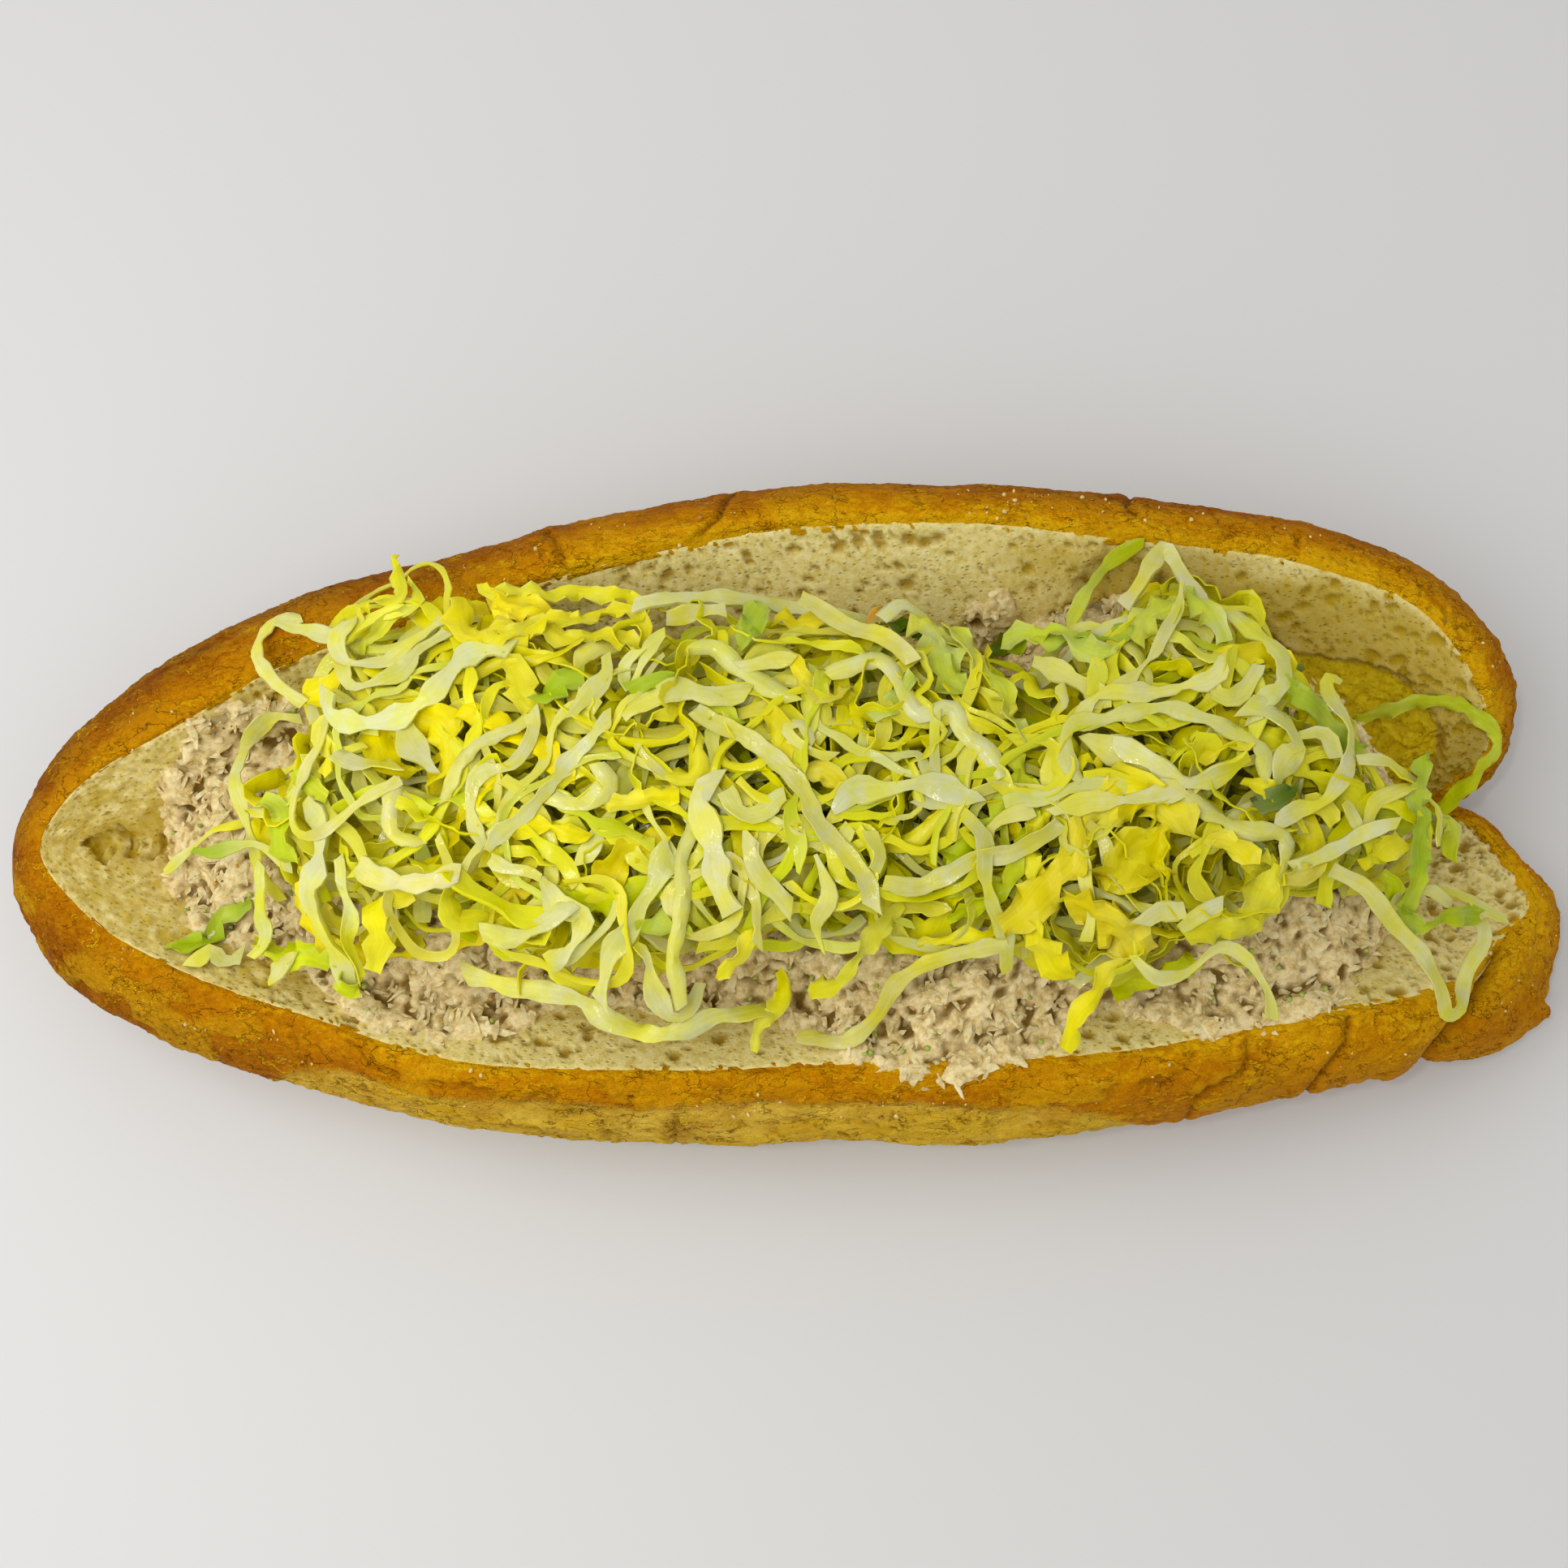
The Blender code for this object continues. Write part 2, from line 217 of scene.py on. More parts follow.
# The shreds on top, from the bottom up: kind, tone, width, and the points each runs through.
TOP_SHREDS = [
    ("shred", "pale", 1.7, [(-121, -8), (-116, -5), (-110, -2), (-103, 0)]),
    ("shred", "pale", 3.2, [
        (-93, 20), (-98, 20), (-102, 17), (-103, 12), (-104, 7), (-102, 0), (-100, -5), (-99, -11),
        (-96, -16)
    ]),
    ("leaf", "green", 4.0, [(-119, -24), (-114, -23), (-110, -22), (-109, -18), (-103, -15)]),
    ("shred", "tip", 2.4, [(-113, -6), (-108, -7), (-103, -7), (-97, -8), (-91, -12)]),
    ("shred", "pale", 4.0, [(-113, -28), (-110, -25), (-107, -27), (-104, -25)]),
    ("leaf", "lime", 4.7, [(-96, 0), (-92, -3), (-92, -9), (-90, -12)]),
    ("leaf", "lime", 5.7, [(-101, -24), (-95, -26), (-90, -27), (-85, -29)]),
    ("shred", "pale", 4.0, [(-93, -27), (-95, -30), (-97, -32)]),
    ("shred", "pale", 3.3, [(-101, -27), (-98, -23), (-99, -17), (-98, -10)]),
    ("leaf", "lime", 4.7, [(-90, 5), (-86, 1), (-83, -1)]),
    ("leaf", "yellow", 3.7, [(-84, 12), (-83, 7), (-83, 3)]),
    ("leaf", "yellow", 4.0, [(-83, 27), (-83, 22), (-87, 18), (-90, 17)]),
    ("rib", "white", 4.0, [
        (-87, -1), (-84, -7), (-85, -13), (-87, -18), (-85, -24), (-82, -30), (-81, -34)
    ]),
    ("shred", "pale", 2.8, [(-81, -12), (-80, -17), (-79, -22), (-80, -27), (-78, -33)]),
    ("leaf", "lime", 4.0, [(-84, -31), (-81, -35), (-79, -34)]),
    ("leaf", "yellow", 5.0, [(-68, -18), (-73, -21), (-74, -26), (-76, -32)]),
    ("rib", "white", 4.3, [(-77, -14), (-74, -16), (-68, -18), (-62, -18), (-58, -17)]),
    ("shred", "pale", 3.3, [(-69, 1), (-71, -3), (-70, -9), (-65, -11)]),
    ("shred", "pale", 2.3, [
        (-82, 16), (-84, 10), (-87, 5), (-89, -1), (-89, -6), (-86, -8), (-80, -6), (-74, -2),
        (-69, 1)
    ]),
    ("rib", "white", 4.2, [(-70, 14), (-67, 7), (-63, 2)]),
    ("shred", "cream", 4.0, [(-81, 7), (-76, 5), (-70, 4)]),
    ("shred", "pale", 3.3, [(-81, 24), (-79, 20), (-74, 20), (-69, 22), (-66, 26), (-61, 29)]),
    ("rib", "white", 4.2, [
        (-83, 19), (-82, 14), (-77, 12), (-69, 13), (-64, 16), (-60, 21), (-57, 24), (-49, 25)
    ]),
    ("shred", "pale", 3.1, [(-61, -4), (-58, 4), (-54, 8), (-48, 10), (-44, 13)]),
    ("shred", "pale", 2.9, [(-54, -12), (-56, -5), (-55, 1), (-49, 3), (-45, 9), (-45, 13)]),
    ("leaf", "yellowpale", 6.0, [(-51, 23), (-48, 20), (-47, 16), (-44, 13)]),
    ("shred", "pale", 3.1, [(-88, 18), (-92, 21), (-98, 26), (-100, 32), (-97, 37), (-92, 38)]),
    ("shred", "pale", 2.7, [(-95, 34), (-88, 32), (-82, 30)]),
    ("leaf", "yellowpale", 2.7, [
        (-79, 30), (-79, 35), (-76, 37), (-72, 36), (-70, 38), (-71, 42), (-72, 46)
    ]),
    ("leaf", "yellowpale", 2.4, [(-69, 40), (-67, 37), (-69, 33), (-73, 32), (-77, 29), (-77, 26)]),
    ("shred", "cream", 3.3, [
        (-80, 33), (-82, 29), (-80, 25), (-77, 24), (-73, 24), (-69, 26), (-64, 30), (-61, 32)
    ]),
    ("leaf", "yellow", 6.4, [(-59, 36), (-58, 32), (-56, 28), (-51, 29), (-46, 28)]),
    ("leaf", "yellow", 10.0, [(-54, 36), (-49, 34), (-44, 33), (-39, 32)]),
    ("leaf", "yellowpale", 3.3, [
        (-55, 40), (-54, 38), (-47, 38), (-39, 39), (-33, 38), (-28, 36), (-26, 31)
    ]),
    ("leaf", "yellowpale", 4.0, [
        (-54, 25), (-50, 28), (-44, 30), (-40, 27), (-34, 28), (-28, 26), (-24, 22)
    ]),
    ("leaf", "yellow", 3.3, [(-46, 27), (-40, 31), (-34, 33), (-28, 32), (-25, 27), (-24, 23)]),
    ("shred", "cream", 2.4, [(-21, 27), (-24, 25), (-26, 20), (-28, 17), (-29, 21), (-26, 24)]),
    ("rib", "white", 3.5, [(-27, 33), (-17, 35), (-7, 36), (4, 35), (12, 34), (17, 32)]),
    ("rib", "white", 4.0, [(-21, 31), (-15, 32), (-10, 32)]),
    ("leaf", "green", 6.0, [(-8, 25), (-6, 29), (-3, 33)]),
    ("leaf", "yellow", 5.4, [(-1, 31), (4, 30), (10, 31)]),
    ("leaf", "dark", 4.7, [(19, 31), (23, 28), (26, 26)]),
    ("leaf", "yellow", 4.0, [(1, 22), (4, 17), (8, 14), (12, 16)]),
    ("shred", "pale", 4.0, [(-17, 24), (-12, 24), (-8, 20), (-2, 16), (2, 13)]),
    ("shred", "white", 2.9, [(-8, 21), (-2, 21), (2, 20)]),
    ("leaf", "green", 4.0, [(-28, 16), (-25, 17), (-20, 18)]),
    ("shred", "pale", 4.7, [(-29, 11), (-25, 13), (-19, 16), (-12, 14), (-6, 15)]),
    ("leaf", "lime", 4.0, [(-15, 13), (-11, 12), (-8, 9)]),
    ("leaf", "green", 6.0, [(-44, 14), (-40, 18), (-36, 20)]),
    ("shred", "pale", 3.3, [(-38, 11), (-35, 15), (-32, 19), (-32, 23)]),
    ("leaf", "yellow", 4.0, [(-55, -7), (-48, -8), (-42, -9), (-35, -10)]),
    ("leaf", "yellow", 4.0, [(-34, -3), (-27, -4), (-19, -4)]),
    ("leaf", "yellowpale", 4.0, [(-23, 3), (-17, 1), (-15, 5), (-15, 9)]),
    ("shred", "pale", 4.0, [(-42, -3), (-37, -4), (-32, -1), (-33, 3)]),
    ("leaf", "yellow", 4.0, [(-4, 11), (-1, 7), (2, 2), (8, -1), (10, -3)]),
    ("shred", "pale", 2.3, [(9, 3), (4, 4), (0, 8), (3, 9), (5, 5)]),
    ("shred", "white", 3.1, [(-31, 11), (-38, 3), (-46, -5), (-53, -13)]),
    ("shred", "cream", 2.7, [(-53, -14), (-49, -16), (-44, -18)]),
    ("shred", "cream", 4.4, [(-44, -18), (-41, -23), (-36, -25), (-40, -31), (-43, -33)]),
    ("shred", "pale", 3.8, [(-55, -27), (-50, -28), (-45, -26), (-38, -23)]),
    ("shred", "pale", 4.0, [(-21, -13), (-24, -20), (-28, -26), (-32, -32), (-34, -40)]),
    ("leaf", "green", 3.8, [(-27, -28), (-22, -27), (-17, -27)]),
    ("shred", "pale", 3.3, [(-16, -9), (-19, -16), (-19, -22), (-20, -32), (-20, -41)]),
    ("shred", "cream", 3.3, [(-28, -30), (-24, -37), (-21, -42), (-17, -39), (-16, -36)]),
    ("shred", "cream", 4.2, [
        (-60, -32), (-52, -35), (-43, -37), (-37, -39), (-31, -43), (-23, -45), (-13, -42),
        (-3, -40)
    ]),
    ("leaf", "yellow", 3.3, [(-3, -33), (-2, -39), (-5, -44), (-7, -48)]),
    ("leaf", "yellow", 2.7, [(-6, -28), (-9, -33), (-13, -36)]),
    ("shred", "pale", 4.0, [(-6, -11), (-5, -18), (-2, -22), (0, -25)]),
    ("rib", "white", 5.4, [(-12, -2), (-15, -3), (-15, -8), (-13, -14), (-12, -20), (-10, -25)]),
    ("shred", "pale", 4.3, [(-11, -3), (-8, -7), (-4, -7), (0, -4)]),
    ("shred", "pale", 3.8, [
        (-16, 12), (-9, 8), (-3, 4), (2, -2), (6, -9), (10, -15), (14, -20), (15, -25)
    ]),
    ("shred", "pale", 2.7, [(5, -15), (7, -22), (5, -27), (6, -32)]),
    ("leaf", "yellowpale", 3.3, [(3, -38), (8, -37), (13, -32), (17, -27), (21, -25)]),
    ("shred", "pale", 3.8, [(17, -20), (24, -21), (33, -17), (40, -15), (49, -11)]),
    ("shred", "pale", 3.3, [(15, -11), (17, -15), (15, -18)]),
    ("shred", "pale", 3.3, [(39, -36), (38, -28), (35, -21), (35, -13), (31, -8), (24, -5)]),
    ("leaf", "yellow", 2.7, [(23, -30), (29, -31), (37, -29)]),
    ("shred", "cream", 3.5, [(1, -45), (9, -46), (16, -41), (23, -35), (31, -32), (39, -31)]),
    ("rib", "white", 4.4, [(8, -7), (12, -4), (18, -4), (25, -3), (30, -4), (35, -5)]),
    ("shred", "white", 3.8, [
        (8, 18), (13, 20), (18, 20), (21, 16), (23, 13), (25, 10), (30, 11), (32, 7), (36, 3),
        (39, -2)
    ]),
    ("leaf", "palegreen", 8.7, [(26, 29), (29, 25), (30, 19), (33, 14)]),
    ("leaf", "palegreen", 4.0, [(31, 28), (35, 21), (39, 16), (41, 10), (46, 6)]),
    ("shred", "pale", 4.0, [(4, 35), (8, 31), (14, 27), (19, 25), (24, 20)]),
    ("leaf", "orange", 2.3, [(16, 31), (18, 33), (20, 34)]),
    ("shred", "white", 3.8, [(18, 30), (23, 32), (27, 30)]),
    ("shred", "pale", 2.4, [(18, 2), (24, 3), (26, -1), (27, 3), (28, 10)]),
    ("leaf", "palegreen", 4.0, [(23, 18), (20, 12), (16, 9)]),
    ("leaf", "dark", 4.0, [(39, 29), (44, 33), (46, 31)]),
    ("leaf", "green", 3.3, [(42, 25), (47, 26), (55, 25), (64, 25)]),
    ("shred", "lime", 2.8, [(54, 29), (57, 35), (61, 41), (65, 45), (70, 47)]),
    ("leaf", "palegreen", 4.0, [(41, 25), (47, 27), (53, 25), (58, 21), (61, 21)]),
    ("rib", "white", 3.8, [(64, 32), (68, 37), (72, 44), (74, 44), (76, 38), (79, 31)]),
    ("leaf", "palegreen", 7.4, [(65, 23), (69, 28), (73, 33)]),
    ("shred", "pale", 2.3, [(60, 14), (65, 18), (70, 24), (73, 30), (74, 35)]),
    ("leaf", "palegreen", 5.4, [(76, 34), (79, 27), (81, 23)]),
    ("shred", "pale", 4.0, [(83, 30), (88, 25), (91, 20), (91, 15), (87, 11), (85, 7)]),
    ("leaf", "dark", 4.0, [(95, 23), (99, 24), (101, 25)]),
    ("leaf", "green", 4.0, [(91, 15), (97, 11), (102, 5), (105, 2)]),
    ("shred", "pale", 3.2, [(87, 18), (83, 13), (79, 13), (78, 16)]),
    ("shred", "cream", 3.3, [(52, 9), (57, 12), (65, 13), (72, 15), (77, 15), (81, 18)]),
    ("leaf", "yellow", 4.7, [(72, 1), (77, 2), (83, 4)]),
    ("shred", "pale", 3.3, [
        (53, -3), (51, 2), (52, 7), (58, 9), (66, 10), (76, 8), (83, 5), (86, 1), (85, -3)
    ]),
    ("rib", "white", 4.0, [(59, 4), (66, 0), (71, -4), (77, -3), (83, 1)]),
    ("shred", "pale", 4.7, [(83, 10), (89, 8), (93, 3), (89, -2), (88, -6)]),
    ("shred", "pale", 3.3, [(93, 5), (98, 5), (100, 1)]),
    ("shred", "pale", 3.1, [(39, -7), (47, -5), (56, -4), (62, -5)]),
    ("rib", "white", 3.6, [(47, -9), (55, -7), (64, -6), (71, -5)]),
    ("leaf", "yellow", 4.0, [(82, -4), (86, -5), (90, -8)]),
    ("leaf", "dark", 5.4, [(84, -8), (88, -7), (92, -6)]),
    ("leaf", "dark", 3.3, [(83, -16), (87, -16)]),
    ("leaf", "yellow", 4.7, [(75, -13), (79, -15), (82, -19)]),
    ("leaf", "yellow", 4.0, [(93, -9), (97, -8), (99, -11)]),
    ("shred", "pale", 3.6, [(71, -6), (77, -10), (83, -13), (89, -14), (89, -19), (88, -22)]),
    ("shred", "white", 3.3, [
        (87, -11), (95, -8), (101, -3), (103, 3), (102, 10), (100, 15), (101, 17), (103, 16)
    ]),
    ("shred", "pale", 3.1, [(101, -7), (104, -12), (107, -7), (111, -5), (116, -4)]),
    ("shred", "pale", 3.3, [(104, 1), (110, 0), (116, -3)]),
    ("leaf", "yellow", 5.4, [(104, -18), (108, -16), (113, -14)]),
    ("rib", "white", 3.2, [(90, -19), (98, -16), (104, -13), (111, -11)]),
    ("leaf", "lime", 4.0, [(109, -19), (111, -21), (110, -25)]),
    ("leaf", "yellow", 7.4, [(38, -29), (43, -24), (48, -20), (53, -12)]),
    ("leaf", "yellow", 10.0, [(52, -11), (56, -7), (62, -6), (68, -9), (71, -13)]),
    ("leaf", "yellow", 11.4, [(57, -23), (61, -18), (66, -15), (70, -12)]),
    ("leaf", "yellow", 11.4, [(49, -26), (54, -28), (59, -30), (62, -35)]),
    ("leaf", "yellow", 5.4, [(42, -28), (45, -33), (48, -36), (51, -37)]),
    ("leaf", "yellow", 3.8, [(59, -34), (55, -39), (52, -45), (49, -50)]),
    ("leaf", "yellowpale", 6.4, [(70, -31), (77, -30), (82, -29), (85, -24), (88, -19)]),
    ("rib", "white", 4.0, [(62, -29), (66, -27), (70, -27)]),
    ("shred", "white", 3.5, [(69, -30), (73, -28), (77, -26)]),
    ("shred", "pale", 2.4, [
        (61, -34), (65, -38), (72, -36), (77, -33), (82, -35), (85, -39), (87, -45)
    ]),
    ("leaf", "yellowpale", 4.0, [(88, -22), (92, -20), (96, -18)]),
    ("shred", "pale", 2.3, [(110, -26), (113, -23), (118, -22), (123, -24)]),
    ("shred", "pale", 3.3, [(121, -20), (128, -23), (137, -25)]),
    ("leaf", "green", 4.3, [(118, 2), (116, -4), (116, -12), (115, -20), (114, -27), (115, -31)]),
    ("leaf", "green", 3.5, [(112, -26), (116, -29), (122, -27), (130, -25)]),
    ("shred", "white", 2.8, [(119, -4), (121, -8), (120, -14)]),
    ("leaf", "lime", 3.1, [
        (113, 16), (120, 18), (131, 17), (137, 14), (140, 10), (137, 5), (132, 1), (127, -3)
    ]),
    ("shred", "cream", 3.6, [
        (98, -19), (105, -23), (110, -28), (116, -33), (120, -40), (122, -44), (126, -42),
        (128, -36), (131, -30), (131, -26)
    ]),
]


# ---- Helpers. -----------------------------------------------------------------------------------
def fractal(points, size, octaves=1, seed=0.0):
    """Smooth noise of about -1 to 1 at each point, whose largest lumps are about that size."""
    flat = np.asarray(points, float).reshape(-1, 3) / size + (seed, seed * 0.7, -seed)
    values = [noise.fractal(Vector(p), 1.0, 2.0, octaves) for p in flat]
    return np.array(values).reshape(np.shape(points)[:-1])


def step_between(value, low, high):
    """0 below low, 1 above high, and smooth in between."""
    t = np.clip((value - low) / (high - low), 0, 1)
    return t * t * (3 - 2 * t)


def ridge(value, middle, width):
    """1 at the middle, falling to 0 on both sides of it in about twice the width."""
    return np.exp(-(((value - middle) / width) ** 2))


def mixed(first, second, share):
    share = np.asarray(share)[..., None]
    return np.asarray(first) * (1 - share) + np.asarray(second) * share


def unit(vectors):
    return vectors / np.maximum(np.linalg.norm(vectors, axis=-1, keepdims=True), 1e-9)


def mesh_from(name, points, faces, look, slot, **attributes):
    """A smooth mesh object from points in millimetres, with a value or colour at each of them."""
    mesh = bpy.data.meshes.new(name)
    mesh.from_pydata((np.asarray(points) * MM).tolist(), [], faces)
    for key, values in attributes.items():
        values = np.asarray(values, np.float32)
        if values.ndim == 1:
            mesh.attributes.new(key, "FLOAT", "POINT").data.foreach_set("value", values)
        else:
            colour = np.ones((len(values), 4), np.float32)
            colour[:, :3] = values
            colours = mesh.attributes.new(key, "FLOAT_COLOR", "POINT").data
            colours.foreach_set("color", colour.ravel())
    mesh.materials.append(look)
    mesh.shade_smooth()
    made = bpy.data.objects.new(name, mesh)
    bpy.context.scene.collection.objects.link(made)
    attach(made, "root")
    return made


def grid_faces(rows, ring, first=0, closed=True):
    """Quads between successive rings of points, whose last point meets the first if closed."""
    i = np.arange(rows - 1)[:, None] * ring
    j = np.arange(ring if closed else ring - 1)[None, :]
    after = (j + 1) % ring
    quads = np.stack([i + j, i + after, i + ring + after, i + ring + j], axis=-1)
    return (quads.reshape(-1, 4) + first).tolist()


def closed_curve(stations, samples_each=40):
    """A smooth closed curve through the stations, as many samples after each of them."""
    here = np.array(stations, float)
    ahead = np.roll(here, -1, 0)
    step = np.linalg.norm((ahead - here)[:, :3], axis=1)[:, None]
    slope = (ahead - here) / step
    slope_before, step_before = np.roll(slope, 1, 0), np.roll(step, 1, 0)
    tangent = (slope * step_before + slope_before * step) / (step + step_before)
    tangent_ahead = np.roll(tangent, -1, 0)
    t = np.linspace(0, 1, samples_each, endpoint=False)[None, :, None]
    curve = (
        (2 * t**3 - 3 * t**2 + 1) * here[:, None]
        + (t**3 - 2 * t**2 + t) * (step * tangent)[:, None]
        + (3 * t**2 - 2 * t**3) * ahead[:, None]
        + (t**3 - t**2) * (step * tangent_ahead)[:, None]
    )
    return curve.reshape(-1, here.shape[1])


def evenly(curve, count):
    """That many points along an open curve, the same distance apart, ends included."""
    steps = np.linalg.norm(np.diff(curve[:, :3], axis=0), axis=1)
    along = np.concatenate([[0], np.cumsum(steps)])
    at = np.linspace(0, along[-1], count)
    return np.stack([np.interp(at, along, column) for column in curve.T], axis=1)


# ---- The roll. ----------------------------------------------------------------------------------
def rim_with_crust():
    """The rim loop from the tip: x, y, z of the rim, then of the crust's widest line."""
    loop = closed_curve([*DARK_RIM, NOTCH, *reversed(PALE_RIM)])
    along = (np.roll(loop, -4, 0) - np.roll(loop, 4, 0))[:, :2]
    along /= np.linalg.norm(along, axis=1)[:, None]
    outward = np.stack([-along[:, 1], along[:, 0]], axis=1)
    widest = np.empty((len(loop), 3))
    widest[:, :2] = loop[:, :2] + outward * loop[:, 3:4]
    widest[:, 2] = loop[:, 2] - loop[:, 4]
    return np.hstack([loop[:, :3], widest])


def both_rims(rows):
    loop = rim_with_crust()
    notch = len(DARK_RIM) * len(loop) // (len(DARK_RIM) + len(PALE_RIM) + 1)
    dark = evenly(loop[: notch + 1], rows)
    pale = evenly(np.vstack([loop[notch:], loop[:1]])[::-1], rows)
    return dark, pale


def hinge_line(dark, pale):
    x = np.minimum(HINGE_REACH * (dark[:, 0] + pale[:, 0]) / 2, HINGE_END)
    ramp = np.clip((x - TIP_RAMP_START) / (TIP_RAMP_END - TIP_RAMP_START), 0, 1) ** 1.5
    return np.stack([x, 1.5 + x / 45, FLOOR + (TIP_FLOOR - FLOOR) * ramp], axis=1)


def half_section(rim, hinge, base, bulge, wall_shares, side_steps, under_steps):
    """Points from the hinge up the cut face, round the crust and under to the base, row by row."""
    cut, widest = rim[:, :3], rim[:, 3:]
    ends = np.cos(np.linspace(-1, 1, len(rim)) * math.pi / 2)[:, None] ** 0.5
    bulge = END_BULGE + (bulge - END_BULGE) * ends
    points = []
    for share in wall_shares:
        point = hinge + (cut - hinge) * share
        point[:, 2] = hinge[:, 2] + (cut[:, 2] - hinge[:, 2]) * share**WALL_CURVE
        points.append(point)
    for angle in np.radians(np.linspace(0, 90, side_steps + 1)[1:]):
        out, up = math.sin(angle) ** SIDE_BULGE, max(math.cos(angle), 0) ** SIDE_BULGE
        point = cut + (widest - cut) * out
        point[:, 2] = widest[:, 2] + (cut[:, 2] - widest[:, 2]) * up
        points.append(point)
    foot = base + (widest - base) * BASE_WIDTH
    foot[:, 2] = 0
    for angle in np.radians(np.linspace(0, 90, under_steps + 1)[1:]):
        out, down = max(math.cos(angle), 0) ** bulge, math.sin(angle) ** bulge
        point = foot + (widest - foot) * out
        point[:, 2:] = widest[:, 2:] * (1 - down)
        points.append(point)
    points.append(base)
    return points


class Roll:
    """The roll's points as rows of closed rings, and where on the roll each ring position is."""

    def __init__(self, rows, wall_steps, top_steps, side_steps, under_steps):
        hidden = np.linspace(0, HIDDEN_WALL, HIDDEN_STEPS, endpoint=False)
        wall = np.linspace(HIDDEN_WALL, TOP_EDGE, wall_steps, endpoint=False)
        shares = np.concatenate([hidden, wall, np.linspace(TOP_EDGE, 1, top_steps)])
        dark, pale = both_rims(rows)
        hinge = hinge_line(dark, pale)
        base = (dark[:, :3] + pale[:, :3]) / 2 * (BASE_REACH, 0, 0)
        dark_side = half_section(dark, hinge, base, DARK_BULGE, shares, side_steps, under_steps)
        pale_side = half_section(pale, hinge, base, PALE_BULGE, shares, side_steps, under_steps)
        self.points = np.stack(dark_side[::-1] + pale_side[1:-1], axis=1)
        # Blender takes noise_vector's offsets from the clock, so this part differs from run to run.
        lift = np.minimum(self.points[..., 2:] / UNEVEN_ABOVE, 1)
        flat = self.points.reshape(-1, 3) / UNEVEN_LENGTH
        wander = np.array([noise.noise_vector(Vector(p)) for p in flat])
        self.points += wander.reshape(self.points.shape) * UNEVENNESS * lift
        # place runs 0 to 1 up the cut face, 1 to 2 round the crust, and 2 to 3 under to the base.
        side = 1 + np.linspace(0, 1, side_steps + 1)[1:]
        under = 2 + np.linspace(0, 1, under_steps + 2)[1:]
        half = np.concatenate([shares, side, under])
        self.place = np.concatenate([half[::-1], half[1:-1]])
        self.dark = np.concatenate([np.ones(len(half)), np.zeros(len(half) - 2)])
        self.normals = self.find_normals()
        ends = np.minimum(np.arange(rows), np.arange(rows)[::-1])
        self.fade = step_between(ends, 0, 6)[:, None]

    def keep_cut_face(self):
        """Drops all but the two cut faces, whose points then form an open strip."""
        kept = self.place <= 1.0001
        self.points, self.normals = self.points[:, kept], self.normals[:, kept]
        self.place, self.dark = self.place[kept], self.dark[kept]
        self.normals[:, 0], self.normals[:, -1] = self.normals[:, 1], self.normals[:, -2]

    def inside(self):
        """How far under the cut face the crumb ends."""
        return INSIDE_AT_RIM + (INSIDE - INSIDE_AT_RIM) * step_between(1 - self.place, 0.02, 0.25)

    def find_normals(self):
        along = np.gradient(self.points, axis=0)
        around = np.roll(self.points, -1, 1) - np.roll(self.points, 1, 1)
        normal = unit(np.cross(around, along))
        widest = np.argmin(abs(self.place - 2))
        middle = len(self.points) // 2
        outward = self.points[middle, widest] - self.points[middle].mean(0)
        return normal if (normal[middle, widest] * outward).sum() > 0 else -normal


def distance_to_line(points, line):
    """How far each x, y is from a line through the given points."""
    nearest = np.full(points.shape[:-1], 1e9)
    line = np.array(line, float)
    for start, end in zip(line, line[1:]):
        span = end - start
        share = np.clip(((points - start) @ span) / (span @ span), 0, 1)
        away = np.linalg.norm(points - start - share[..., None] * span, axis=-1)
        nearest = np.minimum(nearest, away)
    return nearest


def crumb_pores(roll, rng):
    """The bubbles that the cut opened: how deep each makes the points in it, and how much painted shade
    it puts in them.
    """
    columns = np.where((roll.place < 0.99) & (roll.place > 0.12))[0]
    points = roll.points[:, columns].reshape(-1, 3)
    along = unit(np.gradient(roll.points, axis=0)[:, columns].reshape(-1, 3))
    around = unit(np.gradient(roll.points, axis=1)[:, columns].reshape(-1, 3))
    tree = kdtree.KDTree(len(points))
    for index, point in enumerate(points):
        tree.insert(point, index)
    tree.balance()
    depth, dark = np.zeros(len(points)), np.zeros(len(points))
    for _ in range(PORES):
        middle = int(rng.integers(len(points)))
        at_tip = float(step_between(-points[middle][0], 90, 112))
        across = 0.36 + 0.85 * (1 - at_tip) * rng.random() ** 5
        length = across * (1.1 + 0.7 * (1 - at_tip) * rng.random())
        if rng.random() < TIP_PORES_SKIPPED * at_tip:
            continue
        lean = rng.normal(0, 0.35)
        long_way = along[middle] * math.cos(lean) + around[middle] * math.sin(lean)
        short_way = around[middle] * math.cos(lean) - along[middle] * math.sin(lean)
        for _, index, _ in tree.find_range(points[middle], length):
            offset = points[index] - points[middle]
            away = (offset @ long_way / length) ** 2 + (offset @ short_way / across) ** 2
            if away < 1:
                depth[index] = max(depth[index], min(across * 1.4, 1.0) * (1 - away) ** 0.5)
                dark[index] = max(dark[index], min(across / 0.6, 1) * (1 - away) ** 0.35)
    full_depth, full_pore_shade = np.zeros((2, *roll.points.shape[:2]))
    full_depth[:, columns] = depth.reshape(len(roll.points), -1)
    full_pore_shade[:, columns] = dark.reshape(len(roll.points), -1)
    return full_depth, full_pore_shade


